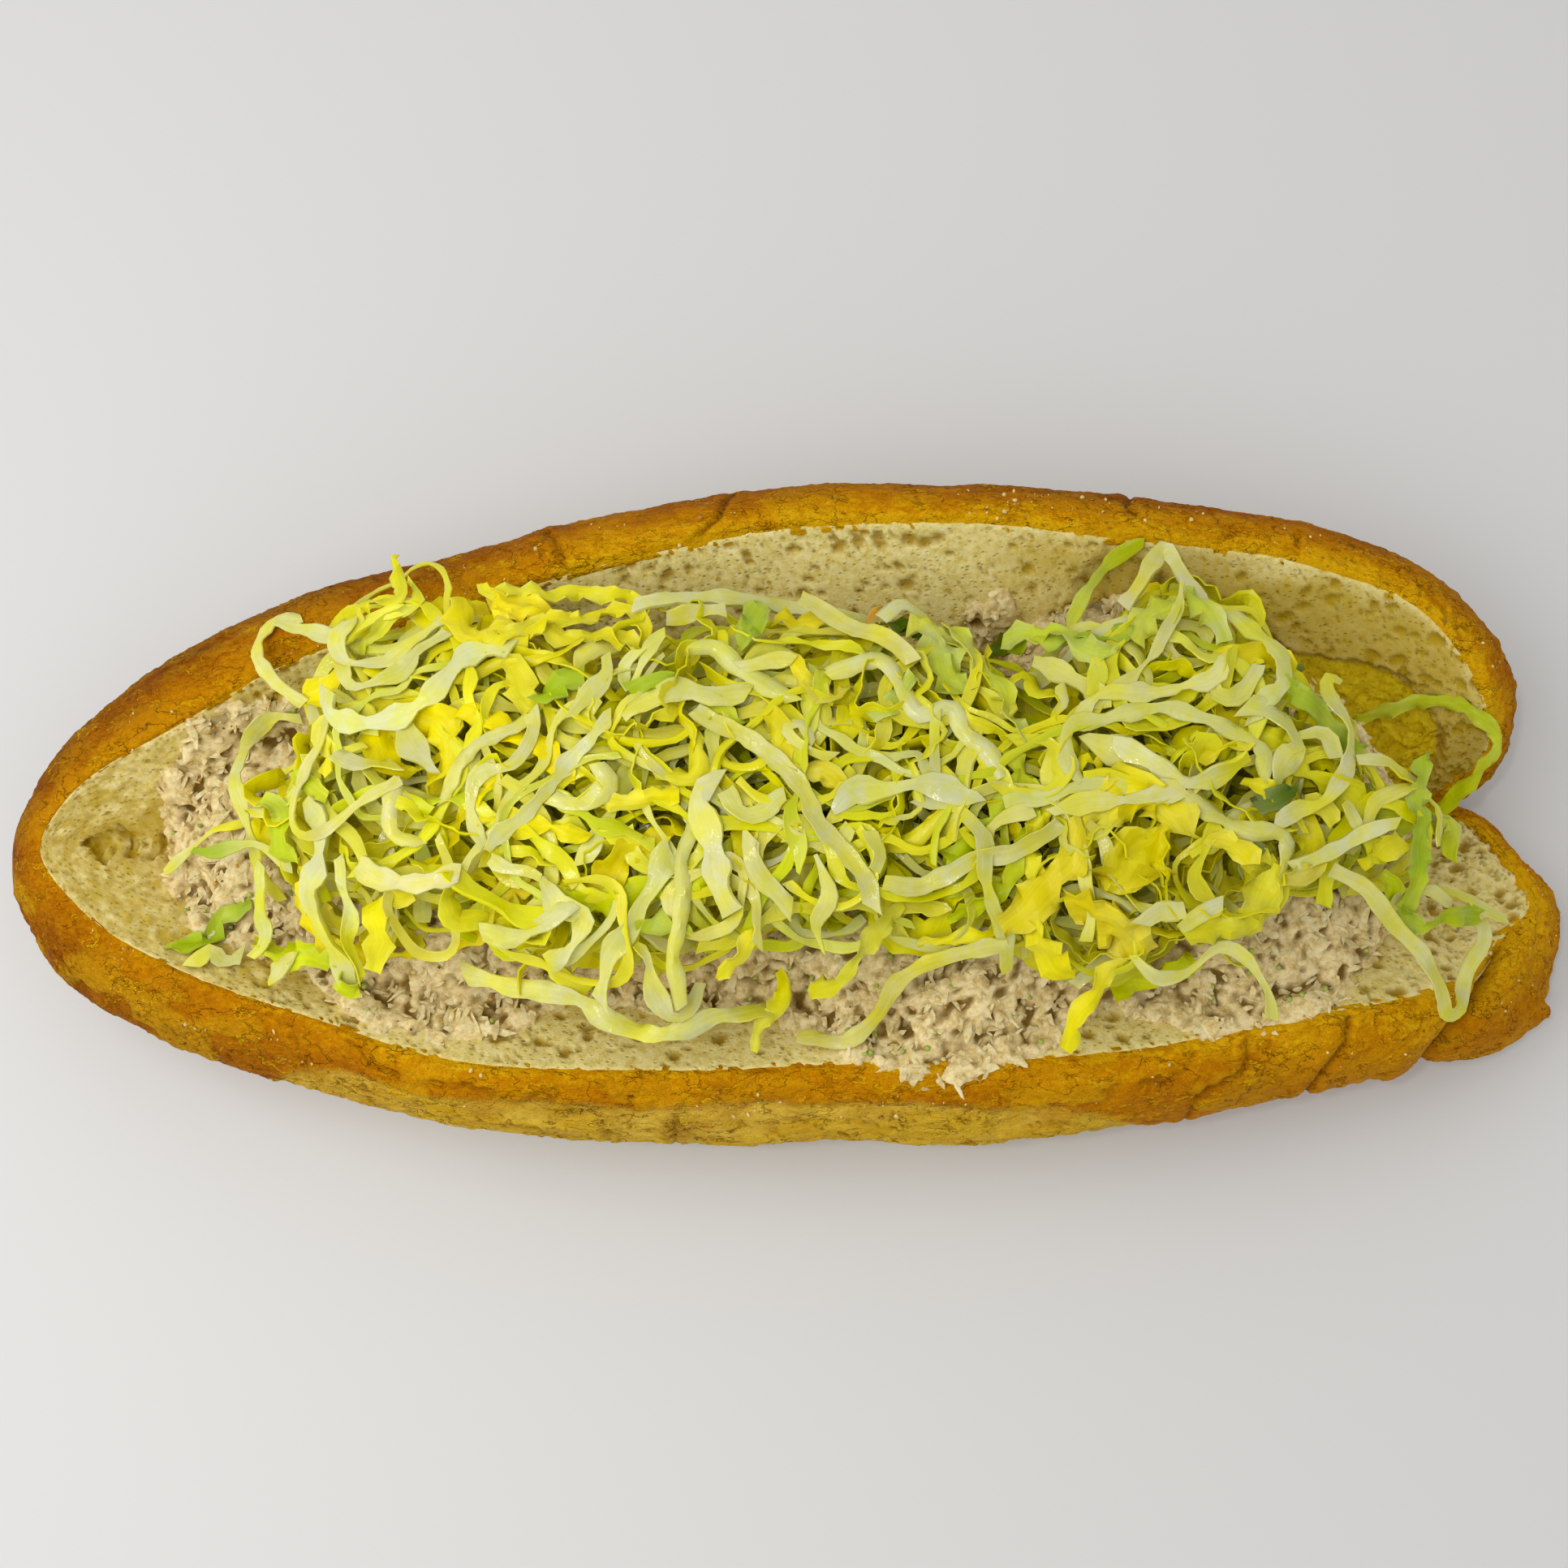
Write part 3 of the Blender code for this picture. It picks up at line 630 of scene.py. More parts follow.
def crumb_relief(roll, rng):
    """How far the crumb stands out from its flat cut face, and how much painted shade each point gets
    in pores, the torn hollow and the tip's fissure.
    """
    points, place = roll.points, roll.place[None, :]
    x = points[..., 0]
    rim = 0.976 + 0.010 * fractal(points, 2.4, 2, 19.0)
    wall = step_between(1 - place, 0.01, 0.04)
    relief = 0.40 * fractal(points, 19, 2) + 0.18 * fractal(points, 5, 3, 3.1)
    relief += 0.16 * fractal(points, 1.6, 2, 4.0)
    ragged = 0.05 * fractal(points, 8, 3, 5.0) + 0.025 * fractal(points, 2.6, 2, 6.0)
    torn = step_between(0.66 + ragged - place, 0, 0.03) * step_between(x, 74, 82) * roll.dark
    relief -= 3.4 * torn * step_between(place, 0.05, 0.25)
    for middle_x, middle_place, half_x, half_place, deep in HOLLOWS:
        away = np.hypot((x - middle_x) / half_x, (place - middle_place) / half_place)
        relief -= deep * step_between(1.05 + 4 * ragged - away, 0, 0.45) * roll.dark
    tip = step_between(-x, 86, 100) * step_between(0.6 - place, 0, 0.35)
    lobe = step_between(x, 112, 124) * (1 - roll.dark)
    rough = np.maximum(np.maximum(tip * 0.6, lobe * 1.2), torn * 0.8)
    relief += rough * (fractal(points, 3.6, 3, 9.0) - 0.2)
    depth, pit = crumb_pores(roll, rng)
    relief += 0.5 * step_between(-x, 86, 100) * fractal(points, 2.0, 3, 28.0)
    calm = 1 - 0.5 * step_between(-x, 98, 135)
    split = step_between(-x, 98, 112) * step_between(0.17 + 7 * ragged - place, 0, 0.05)
    split = split * np.clip(0.7 + 1.6 * fractal(points, 2.0, 4, 26.0), 0, 1.2)
    relief = (relief * calm - depth * (0.4 + 0.6 * calm) - 1.6 * split) * wall
    relief += 0.12 - 1.3 * step_between(place, rim, rim + 0.022)
    # Painted shade in the torn hollow and the fissure by the tip's hinge, and a fine mottle of dark
    # pores at the tip.
    pit = np.maximum(np.maximum(pit, 0.18 * torn), 0.9 * split)
    porous = step_between(-x, 84, 100) * np.clip(1.2 * fractal(points, 1.7, 3, 29.0), 0, 0.4)
    return relief, np.clip(np.maximum(pit, porous) * wall, 0, 1)


def crumb_tints(roll):
    """How dark each point of the cut faces is tinted: wet with dressing, with painted shade at the tip,
    and over 1 paler where it was torn, partly as painted light.
    """
    points, place, x = roll.points, roll.place[None, :], roll.points[..., 0]
    # Towards the tip, darker in a mottle: wet with dressing, and painted shade on the dark half and
    # down by the hinge.
    hinge = 0.60 + 0.15 * roll.dark + 0.25 * step_between(0.42 - place, 0, 0.2)
    mottled = 0.85 + 1.3 * fractal(points, 2.6, 4, 27.0)
    damp = 0.15 + 0.90 * step_between(-x, 60, 100) * hinge * mottled
    # Darker towards the right end of the dark half's cut face.
    damp += 1.35 * step_between(x, 30, 75) * roll.dark
    # A little darker towards the right of the pale half, and on the lower part of its cut face.
    damp += 0.12 * step_between(x, 35, 80) * (1 - roll.dark) * step_between(122 - x, 0, 10)
    pale_wall = 0.60 * (1 - roll.dark) * step_between(0.90 - place, 0, 0.35)
    damp += pale_wall * step_between(110 - abs(x), 0, 30)
    damp = damp * (0.8 + 0.8 * fractal(points, 14, 2, 25.0)) * step_between(1.02 - place, 0, 0.15)
    # Over 1, the crumb was torn out and is wet through, and paler, partly as painted light that lifts
    # the torn hollow's shade.
    soaked_and_lit = step_between(x, 76, 88) * step_between(0.66 - place, 0, 0.06) * roll.dark
    return np.clip(np.maximum(np.minimum(damp, 1), 2 * soaked_and_lit), 0, 2)


def crust_relief(roll):
    """How far the crust stands out, how much painted shade each point gets in creases, cracks and flake
    edges, and where flakes lifted off.
    """
    points, place = roll.points, roll.place[None, :]
    x = points[..., 0]
    on_crust = step_between(place, 0.97, 1.03)
    relief = 0.55 * fractal(points, 24, 2, 11.0) + 0.2 * fractal(points, 6, 2, 12.0)
    wrinkles = 1 - abs(fractal(points * (0.5, 1.4, 1.4), 3.0, 3, 13.0)) * 2
    relief += 0.26 * wrinkles + 0.22 * fractal(points, 1.5, 2, 14.0)
    # Painted shade in the grooves of the creases.
    crack = np.zeros(points.shape[:2])
    for depth, line in CREASES:
        own_side = roll.dark if line[0][1] > 0 else 1 - roll.dark
        away = distance_to_line(points[..., :2] + 0.8 * wrinkles[..., None], line)
        groove = ridge(away, 0, 0.35 + 0.22 * depth)
        lip = ridge(away - 1.0, depth, 0.6 + depth)
        relief += own_side * depth * (0.35 * lip - 0.8 * groove)
        crack = np.maximum(crack, own_side * groove * min(depth, 1))
    # Flakes of the top layer have lifted off, mostly on the pale half's lower front.
    front = (1 - roll.dark) * step_between(place, 1.15, 1.5) * step_between(100 - x, 0, 40)
    patches = fractal(points * (0.6, 1.2, 1.2), 11, 3, 40.0)
    loose = step_between(patches, 0.02, 0.07) * (0.35 + 0.65 * front)
    edge = ridge(patches, 0.03, 0.035) * (0.2 + 0.8 * front)
    relief += 0.32 * loose - 0.16 * edge
    band = lower_band(roll)
    peeled = step_between(band, 0.46, 0.50) * step_between(points[..., 2], 2, 6)
    peel_edge = ridge(band, 0.455, 0.02) * step_between(fractal(points, 14, 2, 42.0), -0.1, 0.2)
    relief += 0.18 * ridge(band, 0.43, 0.03) - 0.42 * peeled
    low = step_between(place, 1.4, 1.65) * step_between(points[..., 2], 3, 8) * (1 - roll.dark)
    veins = abs(fractal(points * (0.7, 1.0, 1.5), 8, 2, 15.0))
    vein = low * step_between(0.045 - veins, 0, 0.04) * step_between(70 - x, 0, 30)
    relief -= 0.4 * vein
    nicks = abs(fractal(points * (1.6, 0.7, 0.7), 6, 2, 16.0))
    nick = step_between(0.03 - nicks, 0, 0.03) * step_between(fractal(points, 13, 1, 18.0), 0.1, 0.3)
    relief -= 0.28 * nick
    ragged = ridge(place, 1.0, 0.04) + step_between(x, 128, 136) * 0.8
    relief += ragged * 0.5 * fractal(points, 2.2, 2, 17.0)
    # Painted shade also in the veins and nicks, and at the edges of lifted and peeled flakes.
    crack = np.maximum(np.maximum(crack, 0.8 * vein), np.maximum(0.5 * nick, 0.35 * edge))
    crack = np.maximum(crack, 0.45 * peel_edge)
    return relief * on_crust, crack * on_crust, loose * on_crust


def lower_band(roll):
    """Rises from under 0.4 on the browned top of the front to over 0.5 on its pale lower band."""
    points, x = roll.points, roll.points[..., 0]
    band = np.clip(roll.place[None, :] - 1, 0, 1)
    band = band + 0.09 * fractal(points * (0.7, 1.0, 1.0), 16, 4, 22.0)
    band += 0.11 * step_between(x, -95, -50) * step_between(60 - x, 0, 70)
    ends = step_between(x, -112, -84) * step_between(92 - x, 0, 50)
    return band * ends * (1 - roll.dark)


def crust_tints(roll):
    """How dark each point of the crust is baked, and how far it is the pale band of the front."""
    place, x = roll.place[None, :], roll.points[..., 0]
    round_crust = np.clip(place - 1, 0, 1)
    blotch = 0.14 * fractal(roll.points * (0.6, 1.2, 1.2), 12, 4, 21.0)
    dark_bake = 0.16 + 0.56 * step_between(round_crust, 0.04, 0.7) + blotch
    pale_bake = 0.20 + 0.30 * step_between(round_crust, 0.04, 0.6) + blotch
    pale_bake += 0.08 * step_between(60 - abs(x), 0, 30) - 0.14 * step_between(x, 70, 120)
    bake = np.where(roll.dark > 0, dark_bake, pale_bake)
    bake = np.where((place < 1.08) & (place > 0.9), bake - 0.12 * (1.08 - place) / 0.08, bake)
    bake = bake + 0.15 * step_between(-x, 40, 90) + 0.15 * step_between(-x, 95, 140)
    bake = bake - 0.10 * step_between(x, 60, 110) * roll.dark
    pale = step_between(lower_band(roll), 0.40, 0.50)
    return bake, np.clip(pale * (0.9 + 0.4 * fractal(roll.points, 8, 2, 23.0)), 0, 1)


def bread_crumb(rng):
    """The two cut faces, as a slab that sits in the crust."""
    roll = Roll(*CRUMB_GRID)
    roll.keep_cut_face()
    relief, pit = crumb_relief(roll, rng)
    lift = step_between(roll.points[..., 2], 0.5, 6)
    front = roll.points + roll.normals * (relief * roll.fade * lift)[..., None]
    columns = np.arange(front.shape[1])[::-8]
    back = (roll.points - roll.normals * (roll.inside() * roll.fade)[..., None])[:, columns]
    points = np.hstack([front, back])
    damp = crumb_tints(roll)
    made = mesh_from(
        "crumb",
        points.reshape(-1, 3),
        grid_faces(*points.shape[:2]),
        crumb_look(),
        "bread",
        pit=np.hstack([pit, pit[:, columns]]).ravel(),
        damp=np.hstack([damp, damp[:, columns]]).ravel(),
    )
    weld(made)
    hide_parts("bread_roll")
    return front


def bread_crust():
    """The crust, whose inner side runs under the crumb."""
    roll = Roll(*CRUST_GRID)
    relief, crack, loose = crust_relief(roll)
    place = roll.place
    sink = roll.inside() * step_between(1 - place, 0.04, 0.07)
    lift = step_between(roll.points[..., 2], 0.5, 6)
    points = roll.points + roll.normals * ((relief - sink) * roll.fade * lift)[..., None]
    points[..., 2] = np.maximum(points[..., 2], 0)
    bake, pale = crust_tints(roll)
    made = mesh_from(
        "crust",
        points.reshape(-1, 3),
        grid_faces(*points.shape[:2]),
        crust_look(),
        "bread",
        bake=bake.ravel(),
        pale=pale.ravel(),
        crack=crack.ravel(),
        loose=loose.ravel(),
    )
    weld(made)
    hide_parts("bread_roll")
    return points, roll


def weld(made):
    """Joins points that lie on each other and removes what that leaves without area."""
    mesh = bmesh.new()
    mesh.from_mesh(made.data)
    bmesh.ops.remove_doubles(mesh, verts=mesh.verts, dist=0.01 * MM)
    bmesh.ops.dissolve_degenerate(mesh, edges=mesh.edges, dist=0.01 * MM)
    bmesh.ops.recalc_face_normals(mesh, faces=mesh.faces)
    mesh.to_mesh(made.data)
    mesh.free()


# ---- Materials. ---------------------------------------------------------------------------------
class Look:
    """A material whose nodes are added a line at a time."""

    def __init__(self, name, **inputs):
        self.made = bpy.data.materials.new(name)
        self.made.use_nodes = True
        self.tree = self.made.node_tree
        self.shader = self.tree.nodes["Principled BSDF"]
        for key, value in inputs.items():
            self.shader.inputs[key.replace("_", " ")].default_value = value

    def add(self, kind, inputs=(), **settings):
        node = self.tree.nodes.new(kind)
        for key, value in settings.items():
            setattr(node, key, value)
        for key, value in dict(inputs).items():
            if isinstance(value, bpy.types.NodeSocket):
                self.tree.links.new(value, node.inputs[key])
            else:
                node.inputs[key].default_value = value
        return node

    def link(self, output, key):
        self.tree.links.new(output, self.shader.inputs[key])

    def value(self, name, output="Fac"):
        return self.add("ShaderNodeAttribute", attribute_name=name).outputs[output]

    def noise(self, size, detail=3.0, stretch=(1, 1, 1), kind="NOISE", roughness=0.55):
        """Noise from 0 to 1 whose lumps are about that many millimetres."""
        place = self.add("ShaderNodeTexCoord").outputs["Object"]
        place = self.add("ShaderNodeMapping", {"Vector": place, "Scale": stretch}).outputs[0]
        if kind == "VORONOI":
            node = self.add("ShaderNodeTexVoronoi", {"Vector": place, "Scale": 1000 / size})
            return node.outputs["Distance"]
        settings = {"Vector": place, "Scale": 1000 / size, "Detail": detail, "Roughness": roughness}
        return self.add("ShaderNodeTexNoise", settings).outputs["Fac"]

    def maths(self, operation, first, second=0.5):
        return self.add("ShaderNodeMath", {0: first, 1: second}, operation=operation).outputs[0]

    def range(self, value, low, high, to_low=0.0, to_high=1.0):
        inputs = {"Value": value, 1: low, 2: high, 3: to_low, 4: to_high}
        return self.add("ShaderNodeMapRange", inputs).outputs[0]

    def ramp(self, value, *stops):
        node = self.add("ShaderNodeValToRGB", {"Fac": value})
        while len(node.color_ramp.elements) < len(stops):
            node.color_ramp.elements.new(0.5)
        for element, (at, colour) in zip(node.color_ramp.elements, stops):
            element.position = at
            element.color = (*colour, 1)
        return node.outputs["Color"]

    def mix(self, share, first, second, blend="MIX"):
        node = self.add("ShaderNodeMix", {"Factor": share}, data_type="RGBA", blend_type=blend)
        for socket, value in ((node.inputs[6], first), (node.inputs[7], second)):
            if isinstance(value, bpy.types.NodeSocket):
                self.tree.links.new(value, socket)
            else:
                socket.default_value = (*value, 1)
        return node.outputs[2]

    def stain_and_shade(self, tint, where, strength, colour):
        """The tint, coloured where the given value is high; used both for real colour and for painted
        shade.
        """
        return self.mix(self.maths("MULTIPLY", where, strength), tint, colour)

    def shaded(self, tint, shade):
        """The tint, made darker or lighter by a value of about 1."""
        shade = self.add("ShaderNodeCombineColor", {0: shade, 1: shade, 2: shade}).outputs[0]
        return self.mix(1.0, tint, shade, "MULTIPLY")

    def bump(self, height, strength, distance, on=None):
        inputs = {"Height": height, "Strength": strength, "Distance": distance * MM}
        if on is not None:
            inputs["Normal"] = on
        return self.add("ShaderNodeBump", inputs).outputs[0]


def crumb_look():
    look = Look("crumb", Roughness=0.9, Specular_IOR_Level=0.03)
    grain = look.noise(1.5, 4, roughness=0.75)
    tint = look.ramp(
        grain,
        (0.34, (0.70, 0.54, 0.13)),
        (0.52, (0.87, 0.74, 0.30)),
        (0.70, (0.93, 0.84, 0.46)),
    )
    cells = look.range(look.noise(1.1, 2, (0.7, 1, 1), kind="VORONOI"), 0.06, 0.30)
    damp = look.value("damp")
    bubbles = look.range(look.noise(4, 3), 0.36, 0.60, 0.15, 0.75)
    bubbles = look.maths("MAXIMUM", bubbles, look.range(damp, 0.2, 0.7, 0, 0.9))
    # Painted shade in the small pores, more of it where the crumb is tinted darker.
    small_pore_shade = look.maths("MULTIPLY", look.range(cells, 0, 1, 1, 0), bubbles)
    tint = look.mix(small_pore_shade, tint, (0.48, 0.31, 0.015))
    # Painted shade in the wider pores.
    wide = look.range(look.noise(3.4, 2, (0.75, 1, 1), kind="VORONOI"), 0.10, 0.17, 1, 0)
    wide = look.maths("MULTIPLY", wide, look.range(look.noise(9, 2), 0.42, 0.58, 0, 0.7))
    tint = look.mix(wide, tint, (0.40, 0.25, 0.006))
    # Painted shade carried by the mesh: in pores, the torn hollow and the fissure.
    tint = look.stain_and_shade(tint, look.value("pit"), 0.95, (0.36, 0.21, 0.003))
    # Darker where wet with dressing, and painted shade at the tip and down by the hinge.
    tint = look.mix(look.range(damp, 0, 1, 0, 0.72), tint, (0.52, 0.35, 0.006))
    # Over 1, paler and more saturated in the torn hollow: wet through with dressing, and partly painted
    # light that lifts the hollow's shade.
    soaked_and_lit = look.ramp(grain, (0.36, (0.72, 0.50, 0.004)), (0.60, (0.92, 0.72, 0.012)))
    tint = look.mix(look.range(damp, 1.2, 2, 0, 0.9), tint, soaked_and_lit)
    look.link(tint, "Base Color")
    fine = look.bump(cells, 0.7, 0.3)
    fine = look.bump(look.range(wide, 0, 1, 1, 0), 0.6, 0.4, fine)
    look.link(look.bump(look.noise(0.5, 3, roughness=0.7), 0.6, 0.25, fine), "Normal")
    return look.made


CRUST_LAYERS = 6.0  # how many thin layers the crust's flaking shows from high to low
# Colour of the painted shade under the flaking layers' edges and in fine cracks.
SHADE_LINE = (0.26, 0.09, 0.001)


def crust_look():
    look = Look("crust", Roughness=0.5, Specular_IOR_Level=0.02)
    bake, pale = look.value("bake"), look.value("pale")
    streaks = look.noise(6, 6, (0.7, 1.2, 1.1), roughness=0.7)
    wrinkles = look.noise(1.7, 4, (0.8, 1.1, 1.1), roughness=0.75)
    speckle = look.noise(0.8, 3, roughness=0.7)
    baked = look.maths("ADD", bake, look.range(streaks, 0.3, 0.7, -0.13, 0.13))
    baked = look.maths("ADD", baked, look.range(wrinkles, 0.38, 0.62, -0.12, 0.12))
    baked = look.maths("ADD", baked, look.range(speckle, 0.3, 0.7, -0.10, 0.10))
    tint = look.ramp(
        baked,
        (0.0, (0.78, 0.42, 0.004)),
        (0.25, (0.62, 0.255, 0.0005)),
        (0.55, (0.48, 0.165, 0.001)),
        (1.0, (0.25, 0.068, 0.0005)),
    )
    pale_tint = look.ramp(streaks, (0.32, (0.58, 0.32, 0.01)), (0.62, (0.81, 0.53, 0.06)))
    tint = look.mix(pale, tint, pale_tint)
    loose = look.value("loose")
    flaked = look.range(speckle, 0.35, 0.65, 0.15, 0.55)
    tint = look.stain_and_shade(tint, loose, flaked, (0.78, 0.48, 0.008))
    levels = look.noise(15, 6, (0.6, 1.2, 1.2), roughness=0.62)
    layers = look.maths("FRACT", look.maths("MULTIPLY", levels, CRUST_LAYERS))
    broken = look.range(look.noise(12, 3), 0.42, 0.54)
    # Painted shade in a dark line along the foot of each layer's edge; the layer above it is paler
    # along that edge.
    under = look.maths("MULTIPLY", look.range(layers, 0, 0.12, 1, 0), broken)
    edge = look.maths("MULTIPLY", look.range(layers, 0.88, 0.98), broken)
    tint = look.stain_and_shade(tint, edge, 0.55, (0.84, 0.52, 0.006))
    tint = look.stain_and_shade(tint, under, 0.75, SHADE_LINE)
    # Painted shade in fine cracks, as thin dark lines that the bump also sinks.
    near_line = look.maths("SUBTRACT", look.noise(5.5, 4, (0.8, 1.2, 1.2)), 0.5)
    lines = look.range(look.maths("ABSOLUTE", near_line), 0, 0.014, 1, 0)
    lines = look.maths("MULTIPLY", lines, look.range(look.noise(9, 2), 0.44, 0.56))
    tint = look.stain_and_shade(tint, lines, 0.60, SHADE_LINE)
    # Painted shade in the creases, cracks, veins and nicks that the mesh carries.
    tint = look.stain_and_shade(tint, look.value("crack"), 0.8, (0.20, 0.07, 0.001))
    look.link(tint, "Base Color")
    leather = look.bump(wrinkles, 1.0, 0.9, look.bump(streaks, 0.7, 0.8))
    leather = look.bump(look.range(lines, 0, 1, 1, 0), 0.8, 0.4, leather)
    leather = look.bump(look.maths("MULTIPLY", layers, broken), 1.0, 0.7, leather)
    look.link(look.bump(speckle, 0.5, 0.2, leather), "Normal")
    return look.made


# ---- What lies under a filling. -----------------------------------------------------------------
class Ground:
    """Height of the highest thing so far at each x, y, on a grid of square cells."""

    def __init__(self, cell=1.5, low=(-170.0, -90.0), high=(170.0, 90.0)):
        self.cell, self.low = cell, np.array(low)
        self.heights = np.zeros(((np.array(high) - low) / cell).astype(int) + 1)

    def cells(self, places):
        spot = np.rint((np.asarray(places)[..., :2] - self.low) / self.cell).astype(int)
        limit = np.array(self.heights.shape) - 1
        spot = np.clip(spot, 0, limit)
        return spot[..., 0], spot[..., 1]

    def raise_to(self, points):
        np.maximum.at(self.heights, self.cells(points), np.asarray(points)[..., 2])

    def close_gaps(self):
        """Fills single cells that the points missed."""
        around = np.stack([np.roll(self.heights, s, a) for s in (-1, 1) for a in (0, 1)])
        self.heights = np.maximum(self.heights, np.sort(around, axis=0)[1])

    def softened(self):
        """The heights run together a little, as shreds settle into the gaps between others."""
        heights = self.heights
        for axis in (0, 1):
            before, after = np.roll(heights, 1, axis), np.roll(heights, -1, axis)
            heights = (before + 2 * heights + after) / 4
        return heights

    def at(self, places, heights=None):
        heights = self.heights if heights is None else heights
        place = (np.asarray(places)[..., :2] - self.low) / self.cell
        corner = np.clip(np.floor(place).astype(int), 0, np.array(heights.shape) - 2)
        share = np.clip(place - corner, 0, 1)
        i, j, u, v = corner[..., 0], corner[..., 1], share[..., 0], share[..., 1]
        near = heights[i, j] * (1 - u) + heights[i + 1, j] * u
        far = heights[i, j + 1] * (1 - u) + heights[i + 1, j + 1] * u
        return near * (1 - v) + far * v


def heap_solid(name, ground, columns, near_at, far_at, top_at, look, slot, **fixed):
    """A closed heap that lies on the ground between two edges, column by column along x."""
    across, rings = 26, []
    for x in columns[1:-1]:
        y = np.linspace(near_at(x), far_at(x), across)
        spots = np.stack([np.full(across, x), y], axis=1)
        low = np.maximum(ground.at(spots) - 1.0, 0)
        top = np.maximum(top_at(spots), low + 0.5)
        below = np.column_stack([spots, low])
        above = np.column_stack([spots, top])[::-1]
        rings.append(np.vstack([below, above]))
    points = np.vstack(rings)
    ends = [rings[0].mean(0), rings[-1].mean(0)]
    points = np.vstack([points, ends])
    ring, count = 2 * across, len(rings)
    faces = grid_faces(count, ring)
    first, last = len(points) - 2, len(points) - 1
    for j in range(ring):
        after = (j + 1) % ring
        faces.append((first, after, j))
        faces.append((last, (count - 1) * ring + j, (count - 1) * ring + after))
    filled = {key: np.resize(value, (len(points), *np.shape(value))) for key, value in fixed.items()}
    made = mesh_from(name, points, faces, look, slot, **filled)
    weld(made)
    return made, points


# ---- Tuna salad. --------------------------------------------------------------------------------
def on_floor(places):
    """The places with a height of 0."""
    return np.column_stack([places, np.zeros(len(places))])


def scoops_top(places):
    """Height of the tuna salad's top at each x, y: the scoops' domes, run softly together."""
    total = 0
    for x, y, radius, top in SCOOPS:
        away = np.hypot(places[..., 0] - x, places[..., 1] - y) / radius
        total = total + np.exp(np.maximum(top - SCOOP_FALL * away**3, -80) / SCOOP_BLEND)
    lump = fractal(on_floor(places.reshape(-1, 2)), 11).reshape(places.shape[:-1]) * LUMPS
    return SCOOP_BLEND * np.log(np.maximum(total, 1e-9)) + lump


def scoops_ends():
    """The first and last x of the tuna salad, a millimetre in from each end."""
    first = min(x - radius for x, _, radius, _ in SCOOPS) + 1
    return first, max(x + radius for x, _, radius, _ in SCOOPS) - 1


def scoops_edge(x, side):
    """How far the tuna salad reaches to the near side, -1, or to the far side, 1, at an x."""
    reach = 0.0
    for middle_x, middle_y, radius, _ in SCOOPS:
        off = abs(x - middle_x) / radius
        if off < 1:
            reach += max(side * middle_y + radius * math.sqrt(1 - off * off), 0) ** 6
    return side * reach ** (1 / 6)


def tuna_look():
    look = Look("tuna", Roughness=0.5, Specular_IOR_Level=0.08)
    look.shader.inputs["Subsurface Weight"].default_value = 0.25
    look.shader.inputs["Subsurface Scale"].default_value = 0.0012
    look.shader.inputs["Subsurface Radius"].default_value = (1.0, 0.7, 0.35)
    meat = look.ramp(
        look.noise(1.6, 4, roughness=0.7),
        (0.32, (0.60, 0.42, 0.14)),
        (0.45, (0.77, 0.60, 0.27)),
        (0.58, (0.92, 0.77, 0.43)),
    )
    brown = look.range(look.noise(7, 2), 0.60, 0.74, 0, 0.3)
    meat = look.mix(brown, meat, (0.50, 0.31, 0.08))
    # Painted shade where the mass lies below its neighbours, and over the core.
    meat = look.stain_and_shade(meat, look.value("pit"), 0.94, (0.19, 0.10, 0.003))
    look.link(meat, "Base Color")
    look.link(look.bump(look.noise(0.7, 4, roughness=0.7), 0.5, 0.25), "Normal")
    return look.made


def tinted_look(name, roughness):
    """A plain material that takes its colour from the mesh, a little uneven."""
    look = Look(name, Roughness=roughness, Specular_IOR_Level=0.3)
    tint = look.value("tint", "Color")
    shade = look.range(look.noise(0.8, 3), 0.3, 0.7, 0.85, 1.1)
    look.link(look.shaded(tint, shade), "Base Color")
    return look.made


def small_ball():
    ball = bmesh.new()
    bmesh.ops.create_icosphere(ball, subdivisions=1, radius=1)
    points = np.array([v.co for v in ball.verts])
    faces = np.array([[v.index for v in f.verts] for f in ball.faces])
    ball.free()
    return points, faces


def scattered(rng, middles, sizes, leans, rough=0.18):
    """Copies of a small rough ball at the middles, stretched to the sizes and turned."""
    ball, ball_faces = small_ball()
    points, faces = [], []
    for index, (middle, size, lean) in enumerate(zip(middles, sizes, leans)):
        turn = np.array(Euler(lean, "XYZ").to_matrix())
        shape = ball * (1 + rng.normal(0, rough, (len(ball), 1))) * size
        points.append(shape @ turn.T + middle)
        faces.append(ball_faces + index * len(ball))
    return np.vstack(points), np.vstack(faces)


def remeshed(name, points, faces, voxel):
    """The outside of many overlapping lumps as one even mesh: its points and quads."""
    mesh = bpy.data.meshes.new(name)
    mesh.from_pydata((points * MM).tolist(), [], faces.tolist())
    rough = bpy.data.objects.new(name, mesh)
    bpy.context.scene.collection.objects.link(rough)
    modifier = rough.modifiers.new("join", "REMESH")
    modifier.mode, modifier.voxel_size = "VOXEL", voxel * MM
    evaluated = rough.evaluated_get(bpy.context.evaluated_depsgraph_get())
    joined = bpy.data.meshes.new_from_object(evaluated)
    bpy.data.objects.remove(rough)
    points = np.empty(len(joined.vertices) * 3, np.float32)
    joined.vertices.foreach_get("co", points)
    faces = [tuple(polygon.vertices) for polygon in joined.polygons]
    bpy.data.meshes.remove(joined)
    return points.reshape(-1, 3) / MM, faces


